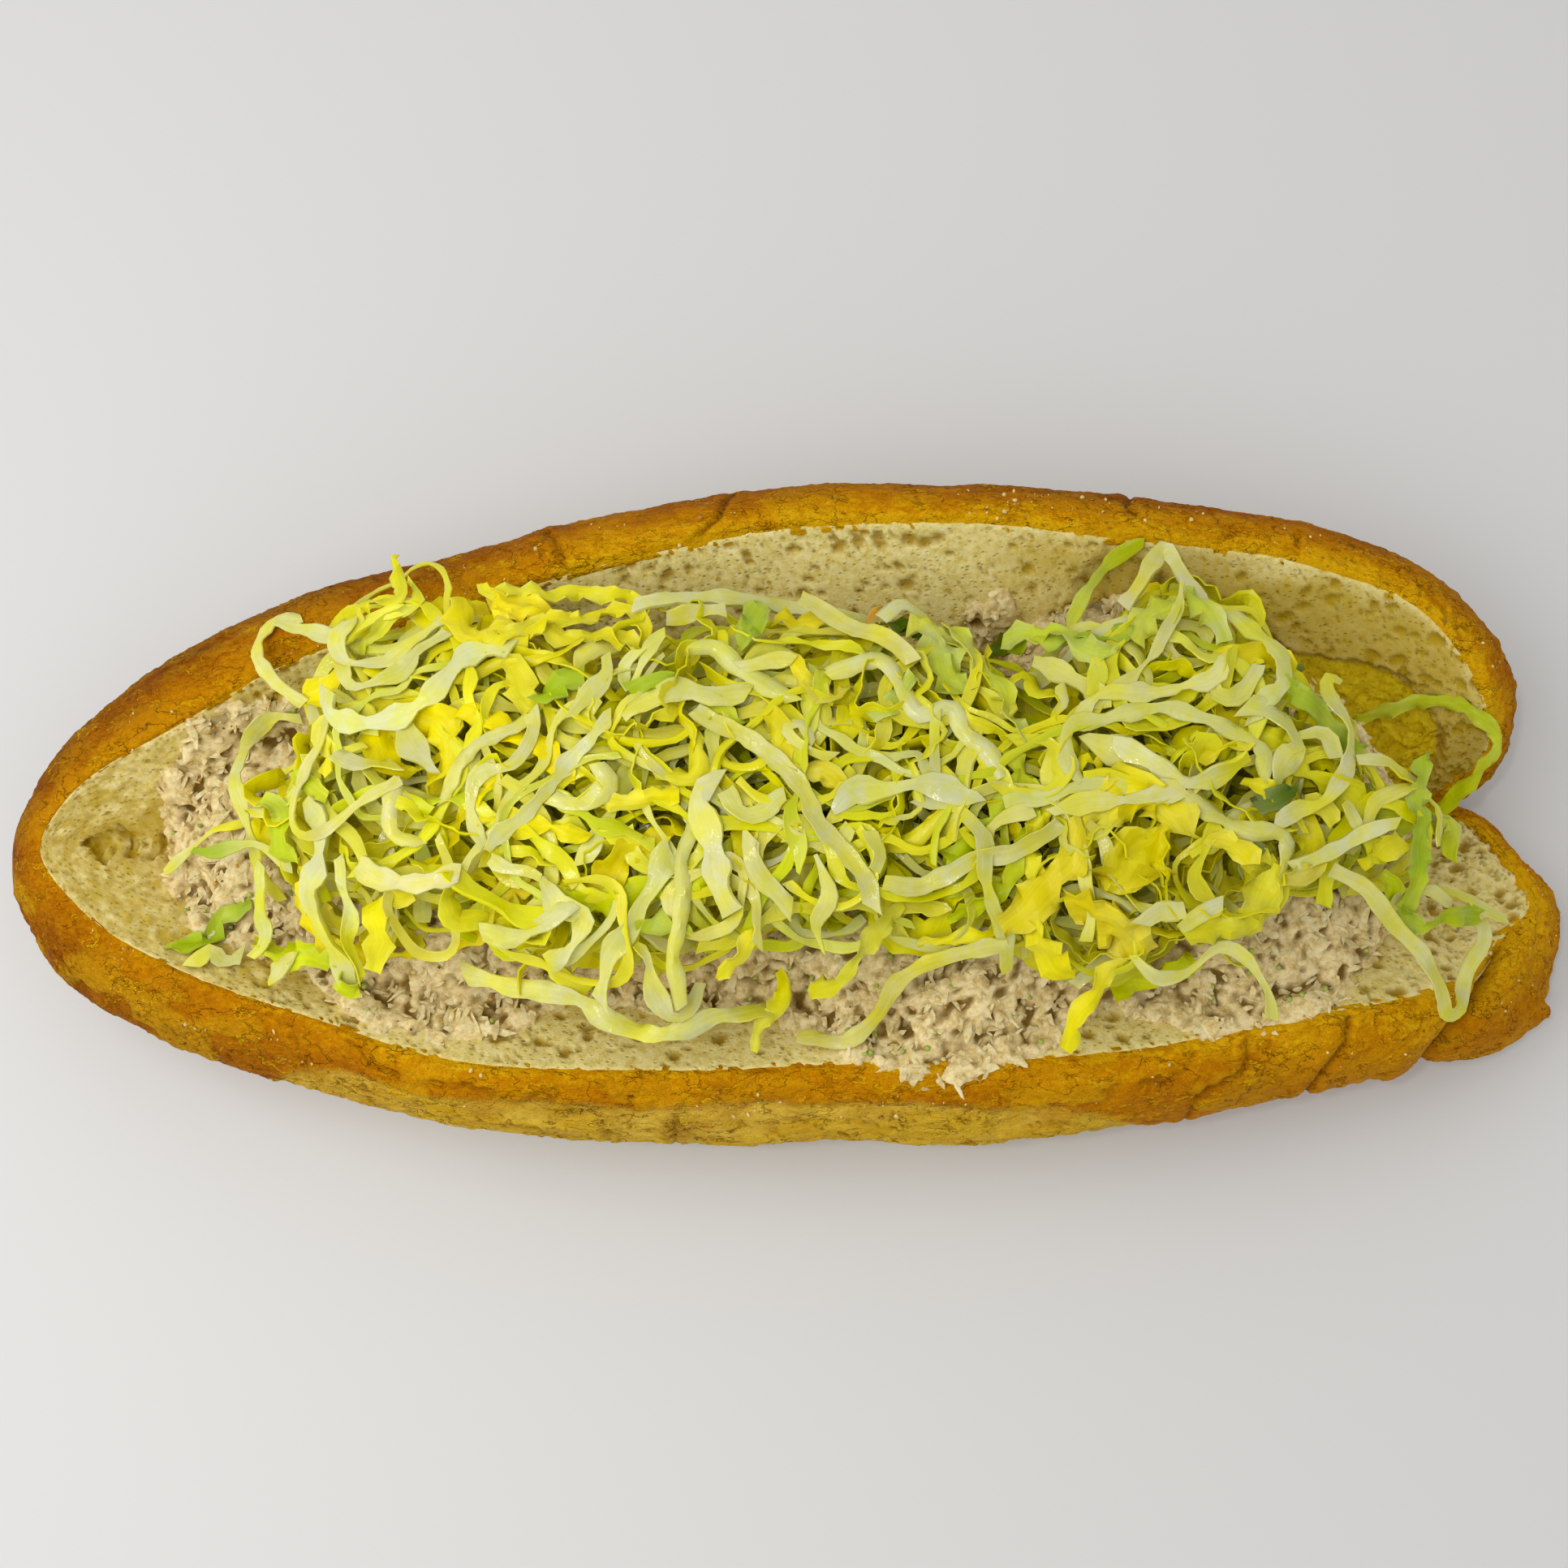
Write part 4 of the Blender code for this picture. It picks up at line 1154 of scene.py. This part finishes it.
def pits_of(points, faces, spread):
    """How far each point lies below the points around it, and its normal."""
    quads = np.array(faces)
    ends = np.vstack([quads[:, [0, 1]], quads[:, [1, 2]], quads[:, [2, 3]], quads[:, [3, 0]]])
    ends = np.vstack([ends, ends[:, ::-1]])
    count = np.bincount(ends[:, 0], minlength=len(points))[:, None]
    normal = np.zeros_like(points)
    corners = [points[quads[:, corner]] for corner in range(4)]
    across = np.cross(corners[2] - corners[0], corners[3] - corners[1])
    for corner in range(4):
        np.add.at(normal, quads[:, corner], across)
    normal = unit(normal)
    smooth = points.copy()
    for _ in range(spread):
        total = np.zeros_like(points)
        np.add.at(total, ends[:, 0], smooth[ends[:, 1]])
        smooth = total / np.maximum(count, 1)
    return np.clip(((smooth - points) * normal).sum(1), 0, None), normal


def near_edge(x):
    return np.interp(x, *np.array(NEAR_EDGE).T)


def far_edge(x):
    return np.interp(x, *np.array(FAR_EDGE).T)


def tuna_surface(ground):
    """Points closely spaced over the part of the tuna salad that shows."""
    places = []
    for x in np.arange(*scoops_ends(), TUNA_SPACING):
        y = np.arange(scoops_edge(x, -1), scoops_edge(x, 1), TUNA_SPACING)
        places.append(np.column_stack([np.full(len(y), x), y]))
    places = np.vstack(places)
    shown = places[:, 1] < near_edge(places[:, 0]) + 7
    shown |= (places[:, 1] > far_edge(places[:, 0]) - 4) | (places[:, 0] < -84)
    places = places[shown]
    corner = np.subtract(STRAY_TUNA, STRAY_REACH)
    stray = np.indices((21, 13)).reshape(2, -1).T * TUNA_SPACING + corner
    stray = stray[np.hypot(*((stray - STRAY_TUNA) / STRAY_REACH).T) < 1]
    height = np.maximum(scoops_top(places), ground.at(places) + 0.4)
    places = np.vstack([places, stray])
    height = np.concatenate([height, ground.at(stray) + 0.4])
    level = on_floor(places)
    height += 2.3 * fractal(level, 6.5, 2, 31.0) + 1.0 * fractal(level, 2.6, 2, 32.0)
    clefts = abs(fractal(level, 9, 2, 34.0))
    height -= 3.0 * step_between(0.075 - clefts, 0, 0.06)
    return np.column_stack([places, height])


def bundles(rng, surface, chance):
    """Short fibres that lie side by side in bundles: middles, sizes and leans."""
    picked = surface[rng.choice(len(surface), BUNDLES, p=chance)]
    heading = rng.random(BUNDLES) * 6.3
    tilt = rng.normal(0, 0.28, (BUNDLES, 2))
    middles, sizes, leans = [], [], []
    for fibre in range(FIBRES):
        along = rng.normal(0, 0.55, BUNDLES)
        aside = (fibre - (FIBRES - 1) / 2) * 0.78 + rng.normal(0, 0.12, BUNDLES)
        offset = np.column_stack([
            along * np.cos(heading) - aside * np.sin(heading),
            along * np.sin(heading) + aside * np.cos(heading),
            rng.normal(-0.15, 0.20, BUNDLES) - 0.10 * aside**2 + tilt[:, 0] * aside,
        ])
        middles.append(picked + offset)
        sizes.append(np.column_stack([
            least + spread * rng.random(BUNDLES) for least, spread in FIBRE_SIZES
        ]))
        leans.append(np.column_stack([0 * heading, tilt[:, 1], heading + rng.normal(0, 0.12, BUNDLES)]))
    return [np.vstack(part) for part in (middles, sizes, leans)]


def tuna_salad(rng, ground):
    look = tuna_look()
    first, last = scoops_ends()
    columns = (first + last) / 2 - (last - first) / 2 * np.cos(np.linspace(0, math.pi, 90))
    # The core carries painted shade all over, at 0.6 of full.
    core, core_points = heap_solid(
        "tuna_core", ground, columns, lambda x: scoops_edge(x, -1), lambda x: scoops_edge(x, 1),
        lambda spots: scoops_top(spots) - CORE_UNDER, look, "tuna", pit=0.6,
    )
    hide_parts("tuna_salad")
    surface = tuna_surface(ground)
    tops = Ground(1.0)
    tops.raise_to(surface)
    rises = [tops.at(surface + aside) - tops.at(surface - aside) for aside in ((1, 0, 0), (0, 1, 0))]
    slope = np.hypot(*rises) / 2
    chance = np.sqrt(1 + np.minimum(slope, 2.5) ** 2)
    chance /= chance.sum()
    parts = [bundles(rng, surface, chance)]
    cream = surface[rng.choice(len(surface), CREAM, p=chance)]
    cream = cream + rng.normal(0, (0.3, 0.3, 0.25), (CREAM, 3))
    cream_sizes = (0.5 + 0.6 * rng.random((CREAM, 1))) * (1.2, 1.0, 0.8)
    parts.append((cream - (0, 0, 0.25), cream_sizes, rng.random((CREAM, 3)) * 3))
    under = surface[rng.permutation(len(surface))[: len(surface) // 4]] - (0, 0, 2.0)
    parts.append((under, np.tile((1.5, 1.5, 1.2), (len(under), 1)), np.zeros((len(under), 3))))
    points, faces = scattered(rng, *[np.vstack(part) for part in zip(*parts)])
    points, faces = remeshed("tuna_lumps", points, faces, TUNA_VOXEL)
    # Painted shade, the stronger the further a point lies below its neighbours.
    pit, normals = pits_of(points, faces, 12)
    points = points + normals * (0.26 * fractal(points, 1.3, 2, 33.0))[:, None]
    mesh_from("tuna_mass", points, faces, look, "tuna", pit=np.clip(pit / 0.42, 0, 1))
    ground.raise_to(core_points)
    ground.raise_to(points)
    loose_flakes(rng, points, ground, look)
    bits_in_tuna(rng, surface, ground)


def loose_flakes(rng, points, ground, look):
    """Thin flakes of tuna that stand out of the mass."""
    ragged = points[rng.choice(len(points), LOOSE_FLAKES)]
    ragged = ragged + rng.normal(0.12, 0.12, (LOOSE_FLAKES, 1)) * (0, 0, 1)
    ragged = ragged[ragged[:, 2] > ground.at(ragged) - 2.0]
    count = len(ragged)
    sizes = np.column_stack([
        0.8 + 2.0 * rng.random(count) ** 1.7,
        0.30 + 0.6 * rng.random(count),
        0.12 + 0.10 * rng.random(count),
    ])
    leans = [rng.normal(0, 0.5, count), rng.normal(0, 0.4, count), rng.random(count) * 6.3]
    points, faces = scattered(rng, ragged, sizes, np.column_stack(leans), rough=0.24)
    no_pit = np.zeros(len(points))
    flakes = mesh_from("tuna_flakes", points, faces.tolist(), look, "tuna", pit=no_pit)
    flakes.data.set_sharp_from_angle(angle=CUT_ANGLE)


def bits_in_tuna(rng, surface, ground):
    """Diced celery, brown bits and dark specks in the tuna salad."""
    kinds = rng.choice(3, BITS, p=(0.45, 0.25, 0.30))
    middles = surface[rng.choice(len(surface), BITS)].copy()
    middles[:, 2] = ground.at(middles) + rng.normal(-0.1, 0.15, BITS)
    sizes = np.array([0.6, 0.45, 0.24])[kinds][:, None] * rng.uniform(0.6, 1.3, (BITS, 3))
    points, faces = scattered(rng, middles, sizes, rng.random((BITS, 3)) * 6.3, rough=0.12)
    tones = np.array([(0.42, 0.52, 0.09), (0.62, 0.33, 0.05), (0.14, 0.09, 0.03)])[kinds]
    tones = np.repeat(tones * rng.uniform(0.8, 1.15, (BITS, 1)), len(points) // BITS, axis=0)
    mesh_from("tuna_bits", points, faces.tolist(), tinted_look("bits", 0.4), "tuna", tint=tones)


def loose_crumbs(rng, points, roll):
    """Tiny crumbs that stick to the crust and along the rim."""
    row = rng.integers(20, len(points) - 20, 4 * CRUMBS)
    column = rng.choice(np.where((roll.place > 0.985) & (roll.place < 1.55))[0], 4 * CRUMBS)
    clumped = fractal(points[row, column], 16, 2, 50.0) + rng.normal(0, 0.25, 4 * CRUMBS)
    best = np.argsort(-clumped)[:CRUMBS]
    row, column = row[best], column[best]
    sizes = (0.10 + 0.38 * rng.random((CRUMBS, 1)) ** 3) * rng.uniform(0.6, 1.3, (CRUMBS, 3))
    middles = points[row, column] + roll.normals[row, column] * 0.5 * sizes[:, :1]
    made, faces = scattered(rng, middles, sizes, rng.random((CRUMBS, 3)) * 6.3, rough=0.25)
    pale = rng.random((CRUMBS, 1)) < 0.6
    tones = np.where(pale, (0.86, 0.66, 0.24), (0.48, 0.22, 0.02))
    tones = np.repeat(tones * rng.uniform(0.8, 1.1, (CRUMBS, 1)), len(made) // CRUMBS, axis=0)
    mesh_from("loose_crumbs", made, faces.tolist(), tinted_look("crumbs", 0.7), "bread", tint=tones)


# ---- Lettuce. -----------------------------------------------------------------------------------
def lettuce_look(name, roughness, shine, veined):
    """Wet leaf, with veins that run along each shred."""
    look = Look(name, Roughness=roughness, Specular_IOR_Level=shine)
    tint = look.value("tint", "Color")
    thin = look.mix(1.0, tint, (1.0, 0.98, 0.2), "MULTIPLY")
    tint = look.mix(look.range(look.noise(3.2, 4, roughness=0.6), 0.42, 0.60, 0, 0.65), tint, thin)
    grain = {"Vector": look.value("grain", "Vector"), "Scale": 1.0, "Detail": 3.0}
    veins = look.add("ShaderNodeTexNoise", grain).outputs["Fac"]
    patches = look.range(look.noise(5, 3), 0.3, 0.7, 0.92, 1.05)
    shade = look.range(veins, 0.32, 0.68, 1 - veined, 1 + 0.4 * veined)
    look.link(look.shaded(tint, look.maths("MULTIPLY", shade, patches)), "Base Color")
    crinkles = look.bump(look.noise(1.7, 3), 0.35, 0.4)
    look.link(look.bump(veins, 2.5 * veined, 0.25, crinkles), "Normal")
    return look.made


def through(points, step):
    """An even curve through the points, a step apart."""
    points = np.array(points, float)
    padded = np.vstack([2 * points[0] - points[1], points, 2 * points[-1] - points[-2]])
    t = np.linspace(0, 1, 24, endpoint=False)[:, None]
    parts = []
    for a, b, c, d in zip(padded, padded[1:], padded[2:], padded[3:]):
        bend, twist = 2 * a - 5 * b + 4 * c - d, 3 * b - a - 3 * c + d
        parts.append(0.5 * (2 * b + (c - a) * t + bend * t**2 + twist * t**3))
    curve = np.vstack([*parts, points[-1:]])
    steps = np.linalg.norm(np.diff(curve, axis=0), axis=1)
    along = np.concatenate([[0], np.cumsum(steps)])
    at = np.linspace(0, along[-1], max(int(along[-1] / step), 6) + 1)
    return np.stack([np.interp(at, along, curve[:, k]) for k in (0, 1)], axis=1), at


def waves(rng, along, length, strength):
    """A wandering line: a few sines of about that length, of random size and start."""
    total = np.zeros_like(along)
    for share in (1.0, 0.6, 0.37):
        size = share * rng.normal()
        total += size * np.sin(along / (length * share) * 6.28 + rng.random() * 6.28)
    return total * strength


def smoothed(values, times):
    for _ in range(times):
        middle = (values[:-2] + 2 * values[1:-1] + values[2:]) / 4
        values = np.concatenate([values[:1], middle, values[-1:]])
    return values


class Shreds:
    """Shreds of one kind, gathered into one mesh."""

    def __init__(self, kind):
        self.kind, self.points, self.faces, self.tints, self.grains = kind, [], [], [], []
        self.count = 0

    def lay(self, rng, ground, line, width, tone, firm=1.0, under=0.0):
        """Lays a shred along the line, so that it drapes over the ground, and raises the ground."""
        kind = KINDS[self.kind]
        path, along = through(line, kind["step"])
        length = along[-1]
        heading = unit(np.gradient(path, axis=0))
        aside = np.stack([-heading[:, 1], heading[:, 0]], axis=1)
        weave = waves(rng, along, 13 if self.kind == "edge" else 24, kind["weave"])
        path = path + aside * weave[:, None]
        ends = np.minimum(along, length - along)
        taper = kind["end"] + (1 - kind["end"]) * step_between(ends, 0, 0.8 * width)
        half = np.maximum(width / 2 * taper * (1 + waves(rng, along, 15, 0.24)), 0.4)
        tilt = rng.normal(0, 0.2)
        turn = tilt + waves(rng, along, max(length * 0.7, 20), kind["turn"] * (0.3 + 0.5 * under))
        if self.kind == "edge":
            turn = turn + rng.choice([-1, 1]) * 1.15
        height, turn = self.settled(ground, path, aside, along, half, turn, firm)
        middle = np.column_stack([path, height])
        forward = unit(np.gradient(middle, axis=0))
        up = unit(np.array([0, 0, 1.0]) - forward * forward[:, 2:])
        side = np.cross(up, forward)
        wide = side * np.cos(turn)[:, None] + up * np.sin(turn)[:, None]
        out = up * np.cos(turn)[:, None] - side * np.sin(turn)[:, None]
        wide_leaf = self.kind == "leaf" and width > WIDE_LEAF
        flat = LEAF_SECTION if self.kind == "leaf" else FLAT_SECTION
        section = np.array(WIDE_SECTION if wide_leaf else flat)
        u, v = section[:, 0], section[:, 1]
        lift, spread = self.ruffles(rng, along, u, half)
        start = 400 * rng.random()
        where = np.stack(np.broadcast_arrays(along[:, None] + start, u * half[:, None], 0), -1)
        lift = self.crumpled(lift, where, width if wide_leaf else 0)
        lift = lift + rng.normal(0, 0.22) * half[:, None] * (u**2 - 0.4)
        jag = 1 + (0.30 if wide_leaf else 0.09) * fractal(where, 4.0, 3, 7.0)
        slant = np.clip(rng.normal(0, 0.6, 2), -1, 1)
        near_end = [1 - step_between(far, 0, 1.6 * width) for far in (along, length - along)]
        skew = slant[0] * near_end[0] - slant[1] * near_end[1]
        sheet = middle[:, None] + wide[:, None] * (u * half[:, None] * jag + spread)[..., None]
        sheet = sheet + forward[:, None] * ((skew * half)[:, None] * u)[..., None]
        sheet = sheet + out[:, None] * lift[..., None]
        thick = kind["thick"] / 2 * v * (0.45 + 0.55 * step_between(ends, 0, 1.2))[:, None]
        ring = sheet + out[:, None] * thick[..., None]
        self.gather(ring)
        # Painted light: deep in the heap, in the shreds laid low, and where a shred faces away from up,
        # its colour is brightened and yellowed as if lit through the leaves.
        deep = np.maximum(np.clip((heap_top(path) - height) / DEEPENS, 0, 1), under)
        deep = np.maximum(deep, 0.85 * step_between(0.93 - out[:, 2], 0, 0.4))
        # Painted shade: darker towards the right end, where the light falls off.
        shade = 1.03 - 0.14 * step_between(path[:, 0], -45, 25)
        tints = self.tint(rng, tone, along, u, deep)
        self.tints.append(tints * np.repeat(shade, len(section))[:, None])
        lengthwise, crosswise = along[:, None] * 0.12, u * half[:, None] * 1.7
        grain = np.stack(np.broadcast_arrays(lengthwise, crosswise, 90 * rng.random()), -1)
        self.grains.append(grain.reshape(-1, 3))
        ground.raise_to(ring)
        ground.raise_to((ring[:-1] + ring[1:]) / 2)

    def settled(self, ground, path, aside, along, half, turn, firm):
        """The height at which a shred comes to rest along its path, and how it then turns."""
        ground_now = ground.softened()
        u = np.linspace(-1, 1, 5)
        reach = np.maximum(half * abs(np.cos(turn)), 0.4)
        places = path[:, None] + aside[:, None] * (u * reach[:, None])[..., None]
        below = ground.at(places, ground_now)
        lean = np.arctan2(below[:, -1] - below[:, 0], np.maximum(2 * reach, 2.5))
        turn = smoothed(turn + np.clip(lean, -0.6, 0.6) * abs(np.cos(turn)), 3)
        need = (below - u * (half * np.sin(turn))[:, None]).max(1) + KINDS[self.kind]["thick"] * 0.4
        need = need * firm + (1 - firm) * (below.mean(1) + half * abs(np.sin(turn)) * 0.5)
        gap = along[:, None] - along[None, :]
        height = smoothed((need[None, :] - DROOP * gap**2 / 2).max(1), 4)
        over = np.maximum(height - CREST, 0)
        return height - over + OVER_CREST * (1 - np.exp(-over / OVER_CREST)), turn

    def crumpled(self, lift, where, wide):
        """The lift of a shred's points out of its sheet with its dents, deeper on wide leaves."""
        lift = lift + (0.60 if self.kind == "leaf" else 0.16) * fractal(where, 3.6, 2)
        if self.kind == "leaf":
            lift = lift - 1.6 * abs(fractal(where, 5.5, 2, 9.0))
        if wide:
            lift = lift + 0.13 * wide * fractal(where, 6.5, 2, 3.0)
            lift = lift - 0.30 * wide * abs(fractal(where, 4.2, 2, 4.0))
        return lift

    def gather(self, rings):
        """Adds a shred's cross-sections, with a face at both ends."""
        count, around = rings.shape[:2]
        first, last = self.count, self.count + (count - 1) * around
        self.points.append(rings.reshape(-1, 3))
        self.faces += grid_faces(count, around, first)
        self.faces.append(tuple(range(first, first + around)))
        self.faces.append(tuple(reversed(range(last, last + around))))
        self.count += count * around

    def ruffles(self, rng, along, u, half):
        """How far the edges stand out of the sheet, and aside, in folds that grow towards them."""
        lift, spread = np.zeros((2, len(along), len(u)))
        for edge in (-1, 1):
            fold = 3.8 + 3.5 * rng.random()
            phase = 6.28 * along / fold + waves(rng, along, 21, 0.9) + 6.28 * rng.random()
            tall = KINDS[self.kind]["ruffle"] * (0.35 + 0.25 * half) * (1 + waves(rng, along, 15, 0.3))
            share = np.clip(edge * u, 0, 1) ** 1.4
            lift += (tall * (np.sin(phase) + 0.25 * np.sin(2 * phase + 1)))[:, None] * share
            spread += edge * (0.30 * tall * np.cos(phase + 0.6))[:, None] * share
        return lift, spread

    def tint(self, rng, tone, along, u, deep):
        """Colour at each point: whiter here, more saturated there along it, with pale edges, and
        brightened and yellowed as painted light where deep.
        """
        white = np.array(TONES["white"])
        if tone == "tip":
            share = step_between(along, 2, 0.75 * along[-1])[:, None] + 0 * u
            return mixed(np.array(TONES["green"]), np.array(TONES["pale"]), share).reshape(-1, 3)
        base = np.array(TONES[tone]) * (1 + rng.normal(0, 0.04)) * (1 + rng.normal(0, 0.02, 3))
        whiter = np.clip(0.12 + waves(rng, along, 40, 0.28), 0, 0.7)[:, None]
        if tone in ("green", "lime"):
            paler = np.clip(0.15 + waves(rng, along, 22, 0.35), 0, 0.9)[:, None]
            base = mixed(base, np.array(TONES["palegreen"]), paler)
        share = np.clip(whiter + 0.30 * abs(u) ** 3, 0, 0.8)
        if tone in ("yellowpale", "yellow", "green", "dark", "lime"):
            share = share * 0.4
        full = mixed(base, white, share)
        # Partly a random richer tone along the shred, partly painted light where it lies deep.
        deeper = np.clip(0.10 + waves(rng, along, 26, 0.30), 0, 0.9)
        deeper = np.maximum(deeper, step_between(deep, 0, 1))[:, None] + 0 * u
        return mixed(full, np.minimum(full * THROUGH_LIGHT_TINT, 0.96), deeper).reshape(-1, 3)

    def finish(self, name, look):
        made = mesh_from(
            name, np.vstack(self.points), self.faces, look, "lettuce",
            tint=np.vstack(self.tints), grain=np.vstack(self.grains),
        )
        made.data.set_sharp_from_angle(angle=CUT_ANGLE)
        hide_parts("shredded_lettuce")


def heap_top(places):
    """The height that the heap of lettuce should reach at each x, y."""
    x = places[..., 0]
    near, far = near_edge(x), far_edge(x)
    across = (places[..., 1] - (near + far) / 2) / np.maximum((far - near) / 2, 1)
    along = np.clip(abs(x - HEAP_MIDDLE) / HEAP_HALF_LENGTH, 0, 1)
    crest = HEAP_END_TOP + (HEAP_TOP - HEAP_END_TOP) * (1 - along**4)
    return crest - HEAP_FALL * np.clip(abs(across), 0, 1) ** 3


def loose_line(rng, middle, length):
    """A wandering line about that long round a middle point."""
    steps = int(max(length / 5, 4))
    heading = rng.random() * 6.28
    bend = rng.normal(0, 0.07) * 5
    places = [np.zeros(2)]
    for _ in range(steps):
        heading += bend + rng.normal(0, 0.32)
        ahead = np.array([math.cos(heading), math.sin(heading)])
        places.append(places[-1] + length / steps * ahead)
    places = np.array(places)
    return places - places.mean(0) + middle


def overhang(line):
    """How far a line reaches past the heap's edges, in millimetres."""
    x, y = line.T
    past = np.maximum(near_edge(x) - y, y - far_edge(x)).max()
    middle = (FAR_EDGE[0][0] + FAR_EDGE[-1][0]) / 2
    return max(past, abs(x - middle).max() - HEAP_HALF_LENGTH, 0)


def random_shred(rng, x, low):
    """A kind and tone: leafy and deep below, pale above, yellower left and greener right."""
    left, right = float(step_between(-x, -10, 70)), float(step_between(x, 20, 100))
    if low:
        chances = {
            ("shred", "palegreen"): 0.12,
            ("shred", "pale"): 0.14,
            ("leaf", "yellowpale"): 0.20,
            ("leaf", "yellow"): 0.20 + 0.10 * left,
            ("leaf", "lime"): 0.14 + 0.10 * right,
            ("leaf", "green"): 0.02 + 0.08 * right,
            ("leaf", "dark"): 0.03 * right,
        }
    else:
        chances = {
            ("rib", "white"): 0.10,
            ("rib", "pale"): 0.08,
            ("shred", "cream"): 0.12,
            ("shred", "pale"): 0.30,
            ("shred", "palegreen"): 0.10,
            ("edge", "pale"): 0.10,
            ("edge", "yellowpale"): 0.05,
            ("leaf", "yellowpale"): 0.08,
            ("leaf", "yellow"): 0.03 + 0.05 * left,
            ("leaf", "lime"): 0.03 + 0.03 * right,
            ("leaf", "green"): 0.03 * right,
        }
    share = np.array(list(chances.values()))
    return list(chances)[rng.choice(len(share), p=share / share.sum())]


def lettuce(rng, ground):
    core_columns = np.linspace(FAR_EDGE[0][0] + 4, FAR_EDGE[-1][0] - 8, 70)
    looks = {
        "rib": lettuce_look("lettuce_rib", 0.15, 0.35, 0.05),
        "shred": lettuce_look("lettuce_shred", 0.18, 0.30, 0.07),
        "edge": lettuce_look("lettuce_edge", 0.18, 0.25, 0.10),
        "leaf": lettuce_look("lettuce_leaf", 0.24, 0.14, 0.08),
    }
    # The core's bright saturated yellow is painted light, for the light that shines through the leaves
    # into the gaps.
    core, core_points = heap_solid(
        "lettuce_core", ground, core_columns, lambda x: near_edge(x) + 8, lambda x: far_edge(x) - 7,
        lambda spots: heap_top(spots) - CORE_DEPTH, looks["leaf"], "lettuce",
        tint=(0.94, 0.86, 0.002), grain=(0.0, 0.0, 0.0),
    )
    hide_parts("shredded_lettuce")
    ground.raise_to(core_points)
    ground.close_gaps()
    shreds = {kind: Shreds(kind) for kind in KINDS}
    for count in range(LOW_SHREDS + HIGH_SHREDS):
        x = rng.uniform(FAR_EDGE[0][0] - 1, FAR_EDGE[-1][0], SPOTS_TRIED)
        near, far = near_edge(x) + 4, far_edge(x) - 4
        spots = np.column_stack([x, near + (far - near) * rng.random(SPOTS_TRIED)])
        lack = heap_top(spots) - ground.at(spots)
        middle = spots[lack.argmax()]
        kind, tone = random_shred(rng, middle[0], count < LOW_SHREDS)
        width = KINDS[kind]["width"] * rng.uniform(0.5, 1.5)
        length = KINDS[kind]["length"] * rng.uniform(0.6, 1.4)
        line = min((loose_line(rng, middle, length) for _ in range(LINES_TRIED)), key=overhang)
        under = 1.0 if count < LOW_SHREDS else rng.random() ** 0.5
        shreds[kind].lay(rng, ground, line, width, tone, firm=0.75, under=under)
    for kind, tone, width, line in TOP_SHREDS:
        shreds[kind].lay(rng, ground, line, TOP_WIDTH * width, tone)
    for kind, gathered in shreds.items():
        gathered.finish(f"lettuce_{kind}s", looks[kind])


# ---- Floor, light and camera. -------------------------------------------------------------------
FLOOR_COLOUR, FLOOR_REACH = (0.72, 0.72, 0.715, 1), 3.0
# Each lamp: name, place and size in metres, watts, colour.
LAMPS = [
    ("window", (-0.38, -0.06, 0.55), 0.7, 2.0, (1.0, 0.99, 0.97)),
    ("bulb", (-0.25, -0.1, 1.1), 0.06, 1.0, (1.0, 1.0, 1.0)),
]
ROOM_COLOUR, ROOM_STRENGTH = (1.0, 1.0, 0.99, 1), 0.60
# Where the camera is, round and up from what it aims at, in degrees and metres, and its width.
TURN, TILT, AWAY, AIM, VIEW_WIDTH = -1.56, 78, 0.446, (0, 0.006, 0.03), 38


def stage():
    look = Look("floor", Roughness=0.55, Base_Color=FLOOR_COLOUR)
    mesh = bpy.data.meshes.new("floor")
    far = FLOOR_REACH
    corners = [(-far, -far, 0), (far, -far, 0), (far, far, 0), (-far, far, 0)]
    mesh.from_pydata(corners, [], [(0, 1, 2, 3)])
    mesh.materials.append(look.made)
    floor = bpy.data.objects.new("floor", mesh)
    bpy.context.scene.collection.objects.link(floor)


def lamp(name, place, size, watts, colour):
    light = bpy.data.lights.new(name, "AREA")
    light.shape, light.size, light.energy, light.color = "DISK", size, watts, colour
    made = bpy.data.objects.new(name, light)
    made.location = place
    made.rotation_euler = (-Vector(place)).to_track_quat("-Z", "Y").to_euler()
    bpy.context.scene.collection.objects.link(made)


def light():
    for row in LAMPS:
        lamp(*row)
    world = bpy.data.worlds.new("room")
    world.use_nodes = True
    background = world.node_tree.nodes["Background"]
    background.inputs["Color"].default_value = ROOM_COLOUR
    background.inputs["Strength"].default_value = ROOM_STRENGTH
    bpy.context.scene.world = world


def camera():
    """Looks down on the sandwich from just in front of it."""
    turn, tilt = math.radians(TURN), math.radians(TILT)
    level = math.cos(tilt)
    back = Vector((math.sin(turn) * level, -math.cos(turn) * level, math.sin(tilt)))
    lens = bpy.data.cameras.new("camera")
    lens.sensor_fit, lens.angle, lens.clip_start = "HORIZONTAL", math.radians(VIEW_WIDTH), 0.01
    made = bpy.data.objects.new("camera", lens)
    made.location = Vector(AIM) + back * AWAY
    made.rotation_euler = back.to_track_quat("Z", "Y").to_euler()
    bpy.context.scene.collection.objects.link(made)
    bpy.context.scene.camera = made
    bpy.context.scene.view_settings.view_transform = "Standard"


def main():
    rng = np.random.default_rng(5)
    crumb_points = bread_crumb(rng)
    crust_points, crust = bread_crust()
    loose_crumbs(rng, crust_points, crust)
    ground = Ground()
    ground.raise_to(crumb_points)
    ground.raise_to(crust_points)
    ground.close_gaps()
    tuna_salad(rng, ground)
    ground.close_gaps()
    lettuce(rng, ground)
    stage()
    light()
    camera()


main()
